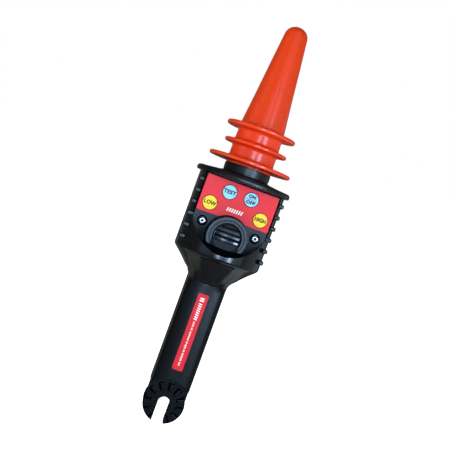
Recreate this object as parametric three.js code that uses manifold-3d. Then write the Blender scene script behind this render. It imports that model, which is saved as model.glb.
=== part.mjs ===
// Non contact voltage tester for use on a universal hot stick.
// Millimetres, +Z along the tool towards the cone tip, the key panel faces -Y.
// Origin: centre of the spline disc at the foot of the handle, in the tool's mid plane.
import * as THREE from 'three';
import { mergeVertices } from 'three/addons/utils/BufferGeometryUtils.js';
import Module from 'manifold-3d';

const wasm = await Module();
wasm.setup();

// ---------------------------------------------------------------- dimensions
const GAP = 0.3; // clearance between pieces that meet

// spline fork
const DISC_R = 19;
const SLOT_W = 10.8;
const PLATE_HALF_T = 6;
const TOOTH_H = 1.2;
const TOOTH_R0 = 12.2;
const TOOTH_R1 = 18;
const TOOTH_COUNT = 12;
const TOOTH_DEG = 15;
const NECK_HALF_W = 17.8;
const STEP_R = 24; // the handle's lower end is cut to this radius about the disc centre
const TANG_HALF_W = 14.6;
const TANG_HALF_D = 13.4;
const TANG_TOP = 58;

// handle
const HANDLE_HALF_W = 17.8;
const HANDLE_HALF_D = 16.25;
const HANDLE_CORNER = 4.5;
const WALL = 2.4;

// funnel and head
const FUNNEL_Z0 = 115.4;
const HEAD_Z0 = 138.2;
const HEAD_Z1 = 207.2;
const HEAD_R = 40;
const FACET_TOP = 15.4; // half width of the facet under the chin
const CHIN_Z = 136.8;
const FACET_BOTTOM = 8.3;

// front pocket that takes the control plate
const POCKET_R = 35;
const POCKET_CZ = 177.8;
const POCKET_Y = -19;
const POCKET_WALL = 2;
const PLATE_FRONT = -22;
const PLATE_BACK = -19.8;
const PLATE_HALF_W = 33.2;
const PLATE_R = 34.2;
const PLATE_TOP = 206.6;

// moulded grip nubs beside the panel
const NUB_Z = [199.96, 189.47, 178.97, 168.47, 157.97, 147.47];
const NUB = { x0: 33.2, x1: 39.4, y0: -22.3, y1: -16.4, h: 3.2 };

// overlay and keys
const OVERLAY = { halfW: 33.1, z0: 173.8, z1: 206.0, archR: 19.2, t: 0.5 };
const KEY_R = 6.45;
const KEY_TRAVEL = 0.6;
const KEYS = {
  key_test: [-10.0, 196.75],
  key_on_off: [10.0, 196.75],
  key_low: [-23.4, 182.5],
  key_high: [23.4, 182.5],
};

// hood over the sounder
const HOOD_CZ = 158.6;
const HOOD_R = 18.3;
const HOOD_IN_R = 12.65;
const HOOD_FRONT = -34;
const HOOD_BOTTOM = 148;
const HOOD_BOTTOM_R = 80;

// plate screws
const SCREW_X = 24.4;
const SCREW_Z = 165.6;

// shell screws
const SHELL_SCREWS = {
  shell_screw_upper_left: [-32, 203.0],
  shell_screw_upper_right: [32, 203.0],
  shell_screw_lower_left: [-32, 146.4],
  shell_screw_lower_right: [32, 146.4],
};
const FORK_SCREW_Z = [33, 50];

// battery door and cells
const DOOR = { halfW: 27, z0: 150.5, z1: 196.5 };
const CELL_R = 13.1;
const CELLS = { cell_left: [-13.4, 19.5], cell_right: [13.4, 19.5], cell_front: [0, -3.4] };
const CELL_Z0 = 148.7;
const CELL_Z1 = 196.7;

// neck and cone
const FLANGE_Z = 207.5;
const FLANGE_R = 43.9;
const NECK_R = 21.5;
const NECK_Z = 222;
const SPIGOT_R = 18.2;
const SPIGOT_Z = 238;
const CONE_WALL = 2.2;
const TIP_Z = 357.3;

// ---------------------------------------------------------------- helpers
function solid(geometry) {
  let g = geometry.index ? geometry.clone() : geometry.clone();
  g.deleteAttribute('normal');
  g.deleteAttribute('uv');
  g = mergeVertices(g, 1e-4);
  const pos = g.attributes.position.array;
  let idx = Array.from(g.index.array);
  const clean = [];
  let vol = 0;
  for (let i = 0; i < idx.length; i += 3) {
    const [a, b, c] = [idx[i], idx[i + 1], idx[i + 2]];
    if (a === b || b === c || a === c) continue;
    clean.push(a, b, c);
    const p = (n) => [pos[3 * n], pos[3 * n + 1], pos[3 * n + 2]];
    const [A, B, C] = [p(a), p(b), p(c)];
    vol += A[0] * (B[1] * C[2] - B[2] * C[1]) - A[1] * (B[0] * C[2] - B[2] * C[0]) + A[2] * (B[0] * C[1] - B[1] * C[0]);
  }
  if (vol < 0) for (let i = 0; i < clean.length; i += 3) [clean[i + 1], clean[i + 2]] = [clean[i + 2], clean[i + 1]];
  return new wasm.Manifold(new wasm.Mesh({ numProp: 3, vertProperties: new Float32Array(pos), triVerts: new Uint32Array(clean) }));
}

function geometryOf(manifold) {
  const m = manifold.getMesh();
  const g = new THREE.BufferGeometry();
  const n = m.vertProperties.length / m.numProp;
  const p = new Float32Array(n * 3);
  for (let i = 0; i < n; i++) for (let k = 0; k < 3; k++) p[3 * i + k] = m.vertProperties[i * m.numProp + k];
  g.setAttribute('position', new THREE.BufferAttribute(p, 3));
  g.setIndex(new THREE.BufferAttribute(new Uint32Array(m.triVerts), 1));
  g.computeVertexNormals();
  return g;
}

const box = (x0, x1, y0, y1, z0, z1) =>
  solid(new THREE.BoxGeometry(x1 - x0, y1 - y0, z1 - z0).translate((x0 + x1) / 2, (y0 + y1) / 2, (z0 + z1) / 2));

// round bar along Z and along Y
const barZ = (r, z0, z1, x = 0, y = 0, n = 24, r1 = r) =>
  solid(new THREE.CylinderGeometry(r1, r, z1 - z0, n).rotateX(Math.PI / 2).translate(x, y, (z0 + z1) / 2));
const barY = (r, y0, y1, x = 0, z = 0, n = 24, r1 = r) =>
  solid(new THREE.CylinderGeometry(r1, r, y1 - y0, n).translate(x, (y0 + y1) / 2, z));

// solid of revolution about Z from a closed [r, z] profile
function lathe(profile, n = 40) {
  const pts = profile.map(([r, z]) => new THREE.Vector2(r, z));
  if (profile[0][0] > 1e-6 || profile[profile.length - 1][0] > 1e-6) pts.push(pts[0].clone());
  return solid(new THREE.LatheGeometry(pts, n).rotateX(Math.PI / 2));
}

// plate with an outline in the XZ plane, between two Y values
function prismY(outline, y0, y1, holes = []) {
  const shape = new THREE.Shape(outline.map(([x, z]) => new THREE.Vector2(x, z)));
  for (const h of holes) shape.holes.push(new THREE.Path(h.map(([x, z]) => new THREE.Vector2(x, z))));
  const g = new THREE.ExtrudeGeometry(shape, { depth: y1 - y0, bevelEnabled: false });
  return solid(g.rotateX(Math.PI / 2).translate(0, y1, 0));
}

// plate with an outline in the XY plane, between two Z values
function prismZ(outline, z0, z1) {
  const shape = new THREE.Shape(outline.map(([x, y]) => new THREE.Vector2(x, y)));
  return solid(new THREE.ExtrudeGeometry(shape, { depth: z1 - z0, bevelEnabled: false }).translate(0, 0, z0));
}

const arc = (cx, cz, r, a0, a1, n) => {
  const out = [];
  for (let i = 0; i <= n; i++) {
    const a = a0 + ((a1 - a0) * i) / n;
    out.push([cx + r * Math.cos(a), cz + r * Math.sin(a)]);
  }
  return out;
};
const circle = (cx, cz, r, n) => arc(cx, cz, r, 0, 2 * Math.PI, n).slice(0, -1);

// skin through rings of equal point count, capped with fans
function loft(rings) {
  const n = rings[0].length;
  const pos = [];
  const idx = [];
  for (const ring of rings) for (const p of ring) pos.push(...p);
  const centre = (ring) => ring.reduce((s, p) => [s[0] + p[0] / n, s[1] + p[1] / n, s[2] + p[2] / n], [0, 0, 0]);
  pos.push(...centre(rings[0]), ...centre(rings[rings.length - 1]));
  const base = rings.length * n;
  for (let k = 0; k + 1 < rings.length; k++)
    for (let i = 0; i < n; i++) {
      const j = (i + 1) % n;
      const [a, b, c, d] = [k * n + i, k * n + j, (k + 1) * n + j, (k + 1) * n + i];
      idx.push(a, b, c, a, c, d);
    }
  for (let i = 0; i < n; i++) {
    const j = (i + 1) % n;
    idx.push(base, j, i);
    const t = (rings.length - 1) * n;
    idx.push(base + 1, t + i, t + j);
  }
  const g = new THREE.BufferGeometry();
  g.setAttribute('position', new THREE.Float32BufferAttribute(pos, 3));
  g.setIndex(idx);
  return solid(g);
}

// ---------------------------------------------------------------- body shape
// Direction angles of the section points: they hit the ends of the handle's corner arcs.
function sectionAngles() {
  const q = [];
  const w = HANDLE_HALF_W - HANDLE_CORNER;
  const d = HANDLE_HALF_D - HANDLE_CORNER;
  q.push(0, Math.atan2(d * 0.5, HANDLE_HALF_W));
  for (let i = 0; i <= 3; i++) {
    const a = (Math.PI / 2) * (i / 3);
    q.push(Math.atan2(d + HANDLE_CORNER * Math.sin(a), w + HANDLE_CORNER * Math.cos(a)));
  }
  q.push(Math.atan2(HANDLE_HALF_D, FACET_BOTTOM), Math.atan2(HANDLE_HALF_D, FACET_BOTTOM / 2));
  const all = [];
  for (const a of q) all.push(a);
  all.push(Math.PI / 2);
  const mirror = [...q].reverse().map((a) => Math.PI - a);
  const half = [...all, ...mirror];
  return [...half, ...half.slice(1, -1).map((a) => a + Math.PI)].sort((a, b) => a - b);
}
const ANGLES = sectionAngles();

function rectRadius(a, hw, hd, r) {
  const c = Math.abs(Math.cos(a));
  const s = Math.abs(Math.sin(a));
  const kx = c > 1e-9 ? hw / c : Infinity;
  const ky = s > 1e-9 ? hd / s : Infinity;
  const k = Math.min(kx, ky);
  const [x, y] = [k * c, k * s];
  if (x <= hw - r || y <= hd - r) return k;
  const [cx, cy] = [hw - r, hd - r];
  const b = c * cx + s * cy;
  return b + Math.sqrt(Math.max(0, b * b - (cx * cx + cy * cy - r * r)));
}

// share of the head's radius at each height: straight in front, hollow behind
const FLARE = [
  // z, front, rear
  [115.4, 0, 0.03],
  [118.4, 0.05, 0.115],
  [121.1, 0.175, 0.165],
  [123.8, 0.325, 0.195],
  [127.4, 0.48, 0.235],
  [131.0, 0.648, 0.34],
  [134.6, 0.83, 0.6],
  [136.6, 0.935, 0.93],
  [138.2, 0.985, 0.995],
];

function bodySection(z, front, rear, inset = 0) {
  return ANGLES.map((a) => {
    const s = Math.sin(a);
    const t = s < -0.05 ? front : s > 0.05 ? rear : front + ((rear - front) * (s + 0.05)) / 0.1;
    const r0 = rectRadius(a, HANDLE_HALF_W - inset, HANDLE_HALF_D - inset, Math.max(HANDLE_CORNER - inset, 1.2));
    const r = r0 * (1 - t) + (HEAD_R - inset) * t;
    return [r * Math.cos(a), r * Math.sin(a), z];
  });
}

const headRing = (r, z) => ANGLES.map((a) => [r * Math.cos(a), r * Math.sin(a), z]);

let body = loft([
  bodySection(6, 0, 0),
  ...FLARE.map(([z, f, r]) => bodySection(z, f, r)),
  headRing(HEAD_R, 139.6),
  headRing(HEAD_R, HEAD_Z1),
]);
// the facet under the chin starts a little behind the head's front wall
const facetCut = solid(
  new THREE.ExtrudeGeometry(
    new THREE.Shape([[CHIN_Z, -60], [CHIN_Z, -36.4], [FUNNEL_Z0, -HANDLE_HALF_D - 0.02], [FUNNEL_Z0, -60]].map(([z, y]) => new THREE.Vector2(y, z))),
    { depth: 2 * FACET_TOP, bevelEnabled: false },
  ).rotateX(Math.PI / 2).rotateZ(Math.PI / 2).translate(FACET_TOP, 0, 0),
);
body = body.subtract(facetCut);
// shadow line where the facet meets the head's wall
body = body.subtract(box(-15.2, 15.2, -60, -35.3, 135.5, 136.72));

const inner = loft([
  bodySection(5, 0, 0, WALL),
  ...FLARE.map(([z, f, r]) => bodySection(z + 2.2, f * 0.985, r, WALL)),
  headRing(HEAD_R - WALL, 142.2),
  headRing(HEAD_R - WALL, 212),
]);

// U-shaped pocket in the front of the head
const uOutline = (r, top, cz = POCKET_CZ) => [[-r, top], ...arc(0, cz, r, Math.PI, 2 * Math.PI, 16), [r, top]];
const pocket = prismY(uOutline(POCKET_R, 215), -60, POCKET_Y);
const pocketShell = prismY(uOutline(POCKET_R + POCKET_WALL, 216), -60, POCKET_Y + POCKET_WALL);
const pocketWindow = box(-29.6, 29.6, -25, -10, 152, 203.4);

const cavity = inner.subtract(pocketShell);
let shell = body.subtract(cavity).subtract(pocket).subtract(pocketWindow);

// screw bosses in the head: one column a side, up and down
for (const [x, z] of Object.values(SHELL_SCREWS)) {
  const column = barY(3.6, -18, 36, x, z, 10).intersect(barZ(HEAD_R - 1.5, 139, HEAD_Z1, 0, 0, 24)).subtract(pocketWindow);
  shell = shell.add(column);
}
// screw holes: a clearance bore from behind with a counterbore, and a blind hole in front
for (const [x, z] of Object.values(SHELL_SCREWS)) {
  shell = shell.subtract(barY(1.8, -13, 60, x, z, 8)).subtract(barY(3.2, 15.5, 60, x, z, 12));
}
for (const z of FORK_SCREW_Z) {
  shell = shell.subtract(barY(3.3, 14.6, 30, 0, z, 12)).subtract(barY(1.8, 0, 30, 0, z, 8));
}
// lower end cut round the spline disc
shell = shell.subtract(barY(STEP_R, -30, 30, 0, 0, 48));

// grip nubs
for (const z of NUB_Z)
  for (const s of [-1, 1]) {
    const [x0, x1] = s > 0 ? [NUB.x0, NUB.x1] : [-NUB.x1, -NUB.x0];
    shell = shell.add(box(x0, x1, NUB.y0, NUB.y1, z - NUB.h / 2, z + NUB.h / 2).subtract(prismY(uOutline(PLATE_R + 0.4, 215), -30, POCKET_Y)));
  }

// battery door opening in the rear wall
const doorCut = box(-DOOR.halfW, DOOR.halfW, 6, 60, DOOR.z0, DOOR.z1);
let doorSolid = body.subtract(inner).intersect(box(-DOOR.halfW + GAP, DOOR.halfW - GAP, 6, 60, DOOR.z0 + GAP, DOOR.z1 - GAP));
const DOOR_SCREW_Z = DOOR.z1 - 4.6;

const front = shell.intersect(box(-60, 60, -60, -GAP / 2, -10, 260));
let rear = shell.intersect(box(-60, 60, GAP / 2, 60, -10, 260)).subtract(doorCut);
// lug behind the door's top edge for the door screw
rear = rear.add(box(-4.5, 4.5, 31, 38.4, DOOR.z1 + 0.1, 198.1)).add(box(-4.5, 4.5, 31, 35.6, 187.4, 198.1));
rear = rear.subtract(barY(1.8, 20, 38, 0, DOOR_SCREW_Z, 8));

// ---------------------------------------------------------------- pieces
const tester = new THREE.Group();
tester.name = 'non_contact_voltage_tester';

const MAT = {
  black: { color: 0x14181d, roughness: 0.42, metalness: 0 },
  plate: { color: 0x1d2329, roughness: 0.5, metalness: 0 },
  orange: { color: 0xe8481c, roughness: 0.4, metalness: 0 },
  red: { color: 0xd9303c, roughness: 0.45, metalness: 0 },
  blue: { color: 0x7cc4f0, roughness: 0.45, metalness: 0 },
  yellow: { color: 0xf0e03a, roughness: 0.45, metalness: 0 },
  steel: { color: 0xc9ccd0, roughness: 0.25, metalness: 1 },
  brass: { color: 0xc79a4b, roughness: 0.35, metalness: 1 },
  board: { color: 0x1f5a35, roughness: 0.6, metalness: 0 },
  rubber: { color: 0x101010, roughness: 0.8, metalness: 0 },
  cell: { color: 0x2b4f86, roughness: 0.35, metalness: 0.2 },
  natural: { color: 0xd8d4c4, roughness: 0.5, metalness: 0 },
};

const group = (name) => {
  const g = new THREE.Group();
  g.name = name;
  tester.add(g);
  return g;
};
const headGroup = group('head');
const coneGroup = group('cone');
const handleGroup = group('handle');
const powerGroup = group('power');

function piece(name, manifold, mat, parent) {
  const mesh = new THREE.Mesh(geometryOf(manifold), new THREE.MeshStandardMaterial(MAT[mat]));
  mesh.name = name;
  parent.add(mesh);
  return mesh;
}

piece('front_housing', front, 'black', headGroup);
piece('rear_housing', rear, 'black', headGroup);

// control plate: U-shaped, with raised rims round its two screws
const plateOutline = [[-PLATE_HALF_W, PLATE_TOP], ...arc(0, POCKET_CZ, PLATE_R, Math.PI, 2 * Math.PI, 16).map(([x, z]) => [Math.max(-PLATE_HALF_W, Math.min(PLATE_HALF_W, x)), z]).filter((p, i, l) => i === 0 || p[0] !== l[i - 1][0] || i === l.length - 1), [PLATE_HALF_W, PLATE_TOP]];
let plate = prismY(plateOutline, PLATE_FRONT, PLATE_BACK);
plate = plate.add(prismY(uOutline(PLATE_R - 0.6, 203), PLATE_BACK - 0.5, POCKET_Y - GAP).subtract(box(-30.5, 30.5, -30, 0, 151, 210)).intersect(box(-PLATE_HALF_W, PLATE_HALF_W, -30, 0, 140, 205)));
for (const s of [-1, 1]) {
  plate = plate.add(barY(6.2, PLATE_FRONT - 1.2, PLATE_FRONT + 0.5, s * SCREW_X, SCREW_Z, 20));
  plate = plate.add(barY(4.4, PLATE_FRONT + 1, -14.6, s * SCREW_X, SCREW_Z, 12));
  plate = plate.subtract(barY(4.9, PLATE_FRONT - 3, PLATE_FRONT + 0.4, s * SCREW_X, SCREW_Z, 20));
  plate = plate.subtract(barY(1.9, -30, -12, s * SCREW_X, SCREW_Z, 8));
}
plate = plate.subtract(barY(12.2, -30, -15, 0, HOOD_CZ, 24));
for (const [x, z] of Object.values(KEYS)) plate = plate.subtract(barY(3.5, -30, -15, x, z, 8));
// shallow seats for the key caps
for (const [x, z] of Object.values(KEYS)) plate = plate.subtract(barY(KEY_R + 0.35, -30, PLATE_FRONT + 1.1, x, z, 16));
piece('control_plate', plate, 'plate', headGroup);

// hood with the sounder window
const bottomArc = (r, zc, bottom, big, n) => {
  // circle of radius r about zc, closed below by a shallow arc through [0, bottom]
  const disc = prismY(circle(0, zc, r, n), -60, 60);
  const lid = prismY(circle(0, bottom + big, big, 72), -60, 60);
  return disc.intersect(lid);
};
const between = (m, y0, y1) => m.intersect(box(-60, 60, y0, y1, 100, 260));
// round-topped outline carried straight down
const arch = (r, n) => prismY([[r, 130], ...arc(0, HOOD_CZ, r, 0, Math.PI, n), [-r, 130]], -60, 60);
const hoodOut = bottomArc(HOOD_R, HOOD_CZ, HOOD_BOTTOM, HOOD_BOTTOM_R, 32);
const hoodMid = bottomArc(15.6, HOOD_CZ, HOOD_BOTTOM, HOOD_BOTTOM_R, 32);
let hood = between(hoodOut, HOOD_FRONT + 1.0, PLATE_FRONT - GAP).add(between(hoodMid, HOOD_FRONT, PLATE_FRONT - GAP));
hood = hood.subtract(between(arch(HOOD_IN_R, 20), -50, -10));
hood = hood.subtract(barY(6.6, -40, -10, -SCREW_X, SCREW_Z, 16)).subtract(barY(6.6, -40, -10, SCREW_X, SCREW_Z, 16));
piece('grille_hood', hood, 'plate', headGroup);

// louvre insert: a rim, a plain band along the foot and four blades that lean back
const GRILLE_R = HOOD_IN_R - GAP;
const grilleDisc = arch(GRILLE_R, 18).intersect(prismY(circle(0, HOOD_BOTTOM + 0.15 + HOOD_BOTTOM_R, HOOD_BOTTOM_R, 72), -60, 60));
let grille = between(grilleDisc, -31.0, -27.5).subtract(between(arch(GRILLE_R - 0.9, 18), -40, -10).intersect(box(-30, 30, -40, -10, 154.35, 190)));
grille = grille.add(between(grilleDisc, -33.2, -27.6).intersect(box(-60, 60, -60, 0, 100, 154.35)));
for (let i = 0; i < 4; i++) {
  const z = 154.7 + i * 4.27;
  const blade = solid(
    new THREE.ExtrudeGeometry(
      new THREE.Shape([[z, -32.6], [z + 0.9, -33.3], [z + 2.9, -31.9], [z + 5.6, -28.6], [z + 5.0, -28.0], [z + 0.5, -31.9]].map(([u, y]) => new THREE.Vector2(u, y))),
      { depth: 40, bevelEnabled: false },
    ).rotateX(Math.PI / 2).rotateZ(Math.PI / 2).translate(20, 0, 0),
  );
  grille = grille.add(blade.intersect(between(grilleDisc, -33.6, -27.5)));
}
piece('louvre_grille', grille, 'plate', headGroup);

// printed overlay with four holes
const round4 = (hw, z0, z1, r) => [
  ...arc(hw - r, z1 - r, r, 0, Math.PI / 2, 3),
  ...arc(-hw + r, z1 - r, r, Math.PI / 2, Math.PI, 3),
  ...arc(-hw + r, z0 + r, r, Math.PI, 1.5 * Math.PI, 3),
  ...arc(hw - r, z0 + r, r, 1.5 * Math.PI, 2 * Math.PI, 3),
];
let overlay = prismY(round4(OVERLAY.halfW, OVERLAY.z0, OVERLAY.z1, 1.3), PLATE_FRONT - GAP - OVERLAY.t, PLATE_FRONT - GAP);
overlay = overlay.subtract(barY(OVERLAY.archR, -40, 0, 0, HOOD_CZ, 40));
for (const [x, z] of Object.values(KEYS)) overlay = overlay.subtract(barY(KEY_R + 0.35, -40, 0, x, z, 16));
piece('panel_overlay', overlay, 'red', headGroup);

// keys: cap and stem
for (const [name, [x, z]] of Object.entries(KEYS)) {
  const cap = barY(KEY_R, -23.4, PLATE_FRONT + 0.4, x, z, 16).add(barY(3.0, PLATE_FRONT, -20.5, x, z, 8));
  piece(name, cap, name === 'key_test' || name === 'key_on_off' ? 'blue' : 'yellow', headGroup);
}

// circuit board, snap domes, controller, sounder, lights
const BOARD_FRONT = -18.95;
const BOARD_BACK = -17.35;
let board = prismY(round4(28.8, 152.6, 202.8, 1.5), BOARD_FRONT, BOARD_BACK);
for (const s of [-1, 1]) board = board.subtract(barY(4.8, -30, 0, s * SCREW_X, SCREW_Z, 12));
board = board.subtract(barY(10.2, -30, 0, 0, HOOD_CZ, 20));
piece('circuit_board', board, 'board', headGroup);
for (const [name, [x, z]] of Object.entries(KEYS)) {
  piece(name.replace('key_', 'switch_dome_'), barY(2.9, -19.75, BOARD_FRONT - 0.1, x, z, 12, 2.9), 'steel', headGroup);
}
piece('controller_chip', box(-3.6, 3.6, -19.75, BOARD_FRONT - 0.1, 183.6, 190.8), 'rubber', headGroup);

const sounder = lathe([[0, 0], [8.0, 0], [8.0, 5.9], [7.4, 6.5], [1.6, 6.5], [1.6, 5.3], [0, 5.3]], 20);
piece('sounder', geometryMove(sounder, HOOD_CZ), 'rubber', headGroup);
for (const [name, s] of [['warning_led_left', -1], ['warning_led_right', 1]]) {
  const led = lathe([[0, 0], [1.5, 0], [1.5, 3.2], [1.1, 4.2], [0, 4.7]], 10);
  piece(name, placeLed(led, s * 10.4), 'red', headGroup);
}
function geometryMove(m, z) {
  return m.rotate([90, 0, 0]).translate([0, -19.4, z]);
}
function placeLed(m, x) {
  return m.rotate([90, 0, 0]).translate([x, -22.4, HOOD_CZ + 0.2]);
}

// plate screws: pan heads with a hex socket
for (const [name, s] of [['plate_screw_left', -1], ['plate_screw_right', 1]]) {
  let screw = barY(3.75, -23.9, PLATE_FRONT + 0.1, s * SCREW_X, SCREW_Z, 18)
    .add(barY(3.1, -24.5, -23.5, s * SCREW_X, SCREW_Z, 18))
    .add(barY(1.5, -22.5, -13.6, s * SCREW_X, SCREW_Z, 8));
  screw = screw.subtract(barY(1.7, -26, -22.9, s * SCREW_X, SCREW_Z, 6));
  piece(name, screw, 'steel', headGroup);
}

// shell screws from behind
for (const [name, [x, z]] of Object.entries(SHELL_SCREWS)) {
  let screw = barY(2.8, 15.9, 18.4, x, z, 12).add(barY(1.4, -12, 16.2, x, z, 8));
  screw = screw.subtract(barY(1.3, 17.0, 22, x, z, 6));
  piece(name, screw, 'steel', headGroup);
}

// battery door, with its seal and its screw
let door = doorSolid;
door = door.add(barY(4.2, 36.0, 38.6, 0, DOOR_SCREW_Z, 16).intersect(box(-10, 10, 30, 60, DOOR.z0 + GAP, DOOR.z1 - GAP)));
door = door.subtract(barY(3.1, 37.4, 50, 0, DOOR_SCREW_Z, 16)).subtract(barY(1.8, 30, 50, 0, DOOR_SCREW_Z, 8));
for (let i = 0; i < 4; i++) door = door.subtract(box(-8, 8, 38.5, 50, 156 + i * 3.2, 157.6 + i * 3.2));
piece('battery_door', door, 'black', powerGroup);
let doorScrew = barY(2.7, 37.75, 39.6, 0, DOOR_SCREW_Z, 12).add(barY(1.4, 32.2, 38, 0, DOOR_SCREW_Z, 8));
doorScrew = doorScrew.subtract(box(-2, 2, 38.9, 45, DOOR_SCREW_Z - 0.45, DOOR_SCREW_Z + 0.45));
piece('battery_door_screw', doorScrew, 'steel', powerGroup);

// cells: can, terminal cap; the front one stands the other way up
for (const [name, [x, y]] of Object.entries(CELLS)) {
  let cell = barZ(CELL_R, CELL_Z0, CELL_Z1, x, y, 24);
  cell = name === 'cell_front' ? cell.add(barZ(3.1, CELL_Z0 - 1.3, CELL_Z0 + 0.5, x, y, 10)) : cell.add(barZ(3.1, CELL_Z1 - 0.5, CELL_Z1 + 1.3, x, y, 10));
  piece(name, cell, 'cell', powerGroup);
}

// contact boards above and below the cells
const contactOutline = (r) => {
  const yFlat = -16.9;
  const a = Math.asin(yFlat / r);
  return arc(0, 0, r, a, Math.PI - a, 24);
};
let topBoard = prismZ(contactOutline(36.6), 198.4, 199.9).subtract(box(-60, -28.2, -60, 60, 190, 210)).subtract(box(28.2, 60, -60, 60, 190, 210));
let lowBoard = prismZ(contactOutline(36.0), 144.6, 146.1).subtract(box(-60, -28.2, -60, 60, 140, 160)).subtract(box(28.2, 60, -60, 60, 140, 160));
topBoard = topBoard.subtract(barZ(3, 190, 210, 0, 12, 10));
lowBoard = lowBoard.subtract(barZ(3, 140, 150, 0, 12, 10));
piece('contact_board_top', topBoard, 'board', powerGroup);
piece('contact_board_bottom', lowBoard, 'board', powerGroup);

// conical contact springs: round wire, one and a half turns
function coil(x, y, z0, z1, r0, r1, turns, wire) {
  class Helix extends THREE.Curve {
    getPoint(t) {
      const a = t * turns * 2 * Math.PI;
      const r = r0 + (r1 - r0) * t;
      return new THREE.Vector3(x + r * Math.cos(a), y + r * Math.sin(a), z0 + (z1 - z0) * t);
    }
  }
  const n = 5;
  const section = new THREE.Shape(circle(0, 0, wire, n).map(([u, v]) => new THREE.Vector2(u, v)));
  return solid(new THREE.ExtrudeGeometry(section, { steps: Math.round(turns * 9), extrudePath: new Helix(), bevelEnabled: false }));
}
piece('contact_spring_left', coil(-13.4, 19.5, 146.95, 147.95, 6.5, 3, 1.5, 0.4), 'steel', powerGroup);
piece('contact_spring_right', coil(13.4, 19.5, 146.95, 147.95, 6.5, 3, 1.5, 0.4), 'steel', powerGroup);
piece('contact_spring_front', coil(0, -3.4, 197.55, 197.1, 6.5, 3, 1.5, 0.25), 'steel', powerGroup);

// neck flange: guard disc, collar, spigot for the cone, open through the middle
let neck = lathe(
  [
    [14, 203.6], [36.6, 203.6], [36.6, FLANGE_Z], [42.2, FLANGE_Z], [43.5, 208.6], [FLANGE_R, 209.9], [43.4, 211.3],
    [42.0, 212.0], [33.0, 213.1], [24.2, 214.2], [22.2, 214.7], [21.1, 215.2], [NECK_R, 216.2], [NECK_R, NECK_Z],
    [SPIGOT_R, NECK_Z], [SPIGOT_R, 227.4], [17.0, 227.4], [17.0, 230.0], [SPIGOT_R, 230.0], [SPIGOT_R, SPIGOT_Z], [14, SPIGOT_Z],
  ],
  28,
);
neck = neck.subtract(box(-60, 60, -60, -13.4, 200, FLANGE_Z));
for (const [x, z] of Object.values(SHELL_SCREWS)) if (z > 190) neck = neck.subtract(box(x - 4.4, x + 4.4, -30, 45, 200, FLANGE_Z));
piece('neck_flange', neck, 'black', coneGroup);

// seal ring in the spigot's groove
piece('neck_seal', lathe(circle(17.7, 228.7, 0.55, 5), 24), 'rubber', coneGroup);

// cone cover with three sheds, open at its foot
function shed(r, z, t, root) {
  return [
[root, z - t * 0.75], [r - 1.0, z - t * 0.5], [r, z - t * 0.2], [r, z + t * 0.2], [r - 1.0, z + t * 0.5], [root, z + t * 0.75],
  ];
}
const coneOuter = [
  [21.1, NECK_Z + GAP], [21.25, 223.4], ...shed(38.1, 226.2, 3.4, 21.0), ...shed(29.1, 241.9, 3.2, 20.9), ...shed(32.0, 257.1, 3.6, 20.3),
  [17.0, 289.4], [10.75, 347.7], [9.6, 351.9], [6.3, 355.4], [0, TIP_Z],
];
const coneInner = [
  [0, TIP_Z - CONE_WALL - 0.6], [6.6, 352.6], [8.4, 347], [14.8, 289.4], [18.5, 240], [18.5, NECK_Z + GAP],
];
piece('cone_cover', lathe([...coneInner, ...coneOuter], 28), 'orange', coneGroup);

// antenna: a former on the spigot, a copper sleeve round it, and its lead to the board
const former = lathe([[0, 238.35], [16.6, 238.35], [16.6, 240.6], [5.6, 240.6], [5.6, 246], [4.2, 247], [4.2, 336], [0, 336]], 16);
piece('antenna_former', former, 'natural', coneGroup);
piece('antenna_sleeve', lathe([[4.6, 248], [7.2, 248], [6.2, 330], [4.6, 330]], 18), 'brass', coneGroup);
const leadPath = new THREE.CatmullRomCurve3([
  new THREE.Vector3(0, 0, 237.9), new THREE.Vector3(0, -1.2, 230), new THREE.Vector3(0, -6, 217), new THREE.Vector3(0, -11, 208), new THREE.Vector3(0, -14.6, 203.4), new THREE.Vector3(0, -16.4, 201.4),
]);
const leadSection = new THREE.Shape(circle(0, 0, 0.6, 6).map(([u, v]) => new THREE.Vector2(u, v)));
piece('antenna_lead', solid(new THREE.ExtrudeGeometry(leadSection, { steps: 10, extrudePath: leadPath, bevelEnabled: false })), 'rubber', coneGroup);

// spline fork: toothed disc with a slot, and a tang clamped in the handle
const disc = barY(DISC_R, -PLATE_HALF_T, PLATE_HALF_T, 0, 0, 48);
const neckBlock = box(-NECK_HALF_W, NECK_HALF_W, -PLATE_HALF_T, PLATE_HALF_T, 0, 26).intersect(barY(STEP_R - GAP, -20, 20, 0, 0, 48));
let fork = disc.add(neckBlock);
const tooth = (a0, a1) => {
  const n = 1;
  const outer = [];
  const innerA = [];
  for (let i = 0; i <= n; i++) {
    const a = a0 + ((a1 - a0) * i) / n;
    outer.push([TOOTH_R1 * Math.sin(a), TOOTH_R1 * Math.cos(a)]);
    innerA.push([TOOTH_R0 * Math.sin(a), TOOTH_R0 * Math.cos(a)]);
  }
  return prismY([...outer, ...innerA.reverse()], -PLATE_HALF_T - TOOTH_H, PLATE_HALF_T + TOOTH_H);
};
for (let k = 0; k < TOOTH_COUNT; k++) {
  const a0 = (k * 2 * Math.PI) / TOOTH_COUNT;
  fork = fork.add(tooth(a0, a0 + (TOOTH_DEG * Math.PI) / 180));
}
const tangOutline = round4(TANG_HALF_W, -TANG_HALF_D, TANG_HALF_D, 2.2);
const tang = prismZ(tangOutline, 12, TANG_TOP)
  .subtract(barY(STEP_R - 1, -20, -PLATE_HALF_T, 0, 0, 48))
  .subtract(barY(STEP_R - 1, PLATE_HALF_T, 20, 0, 0, 48));
fork = fork.add(tang);
fork = fork.subtract(box(-SLOT_W / 2, SLOT_W / 2, -20, 20, -30, 0)).subtract(barY(SLOT_W / 2, -20, 20, 0, 0, 24));
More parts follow.
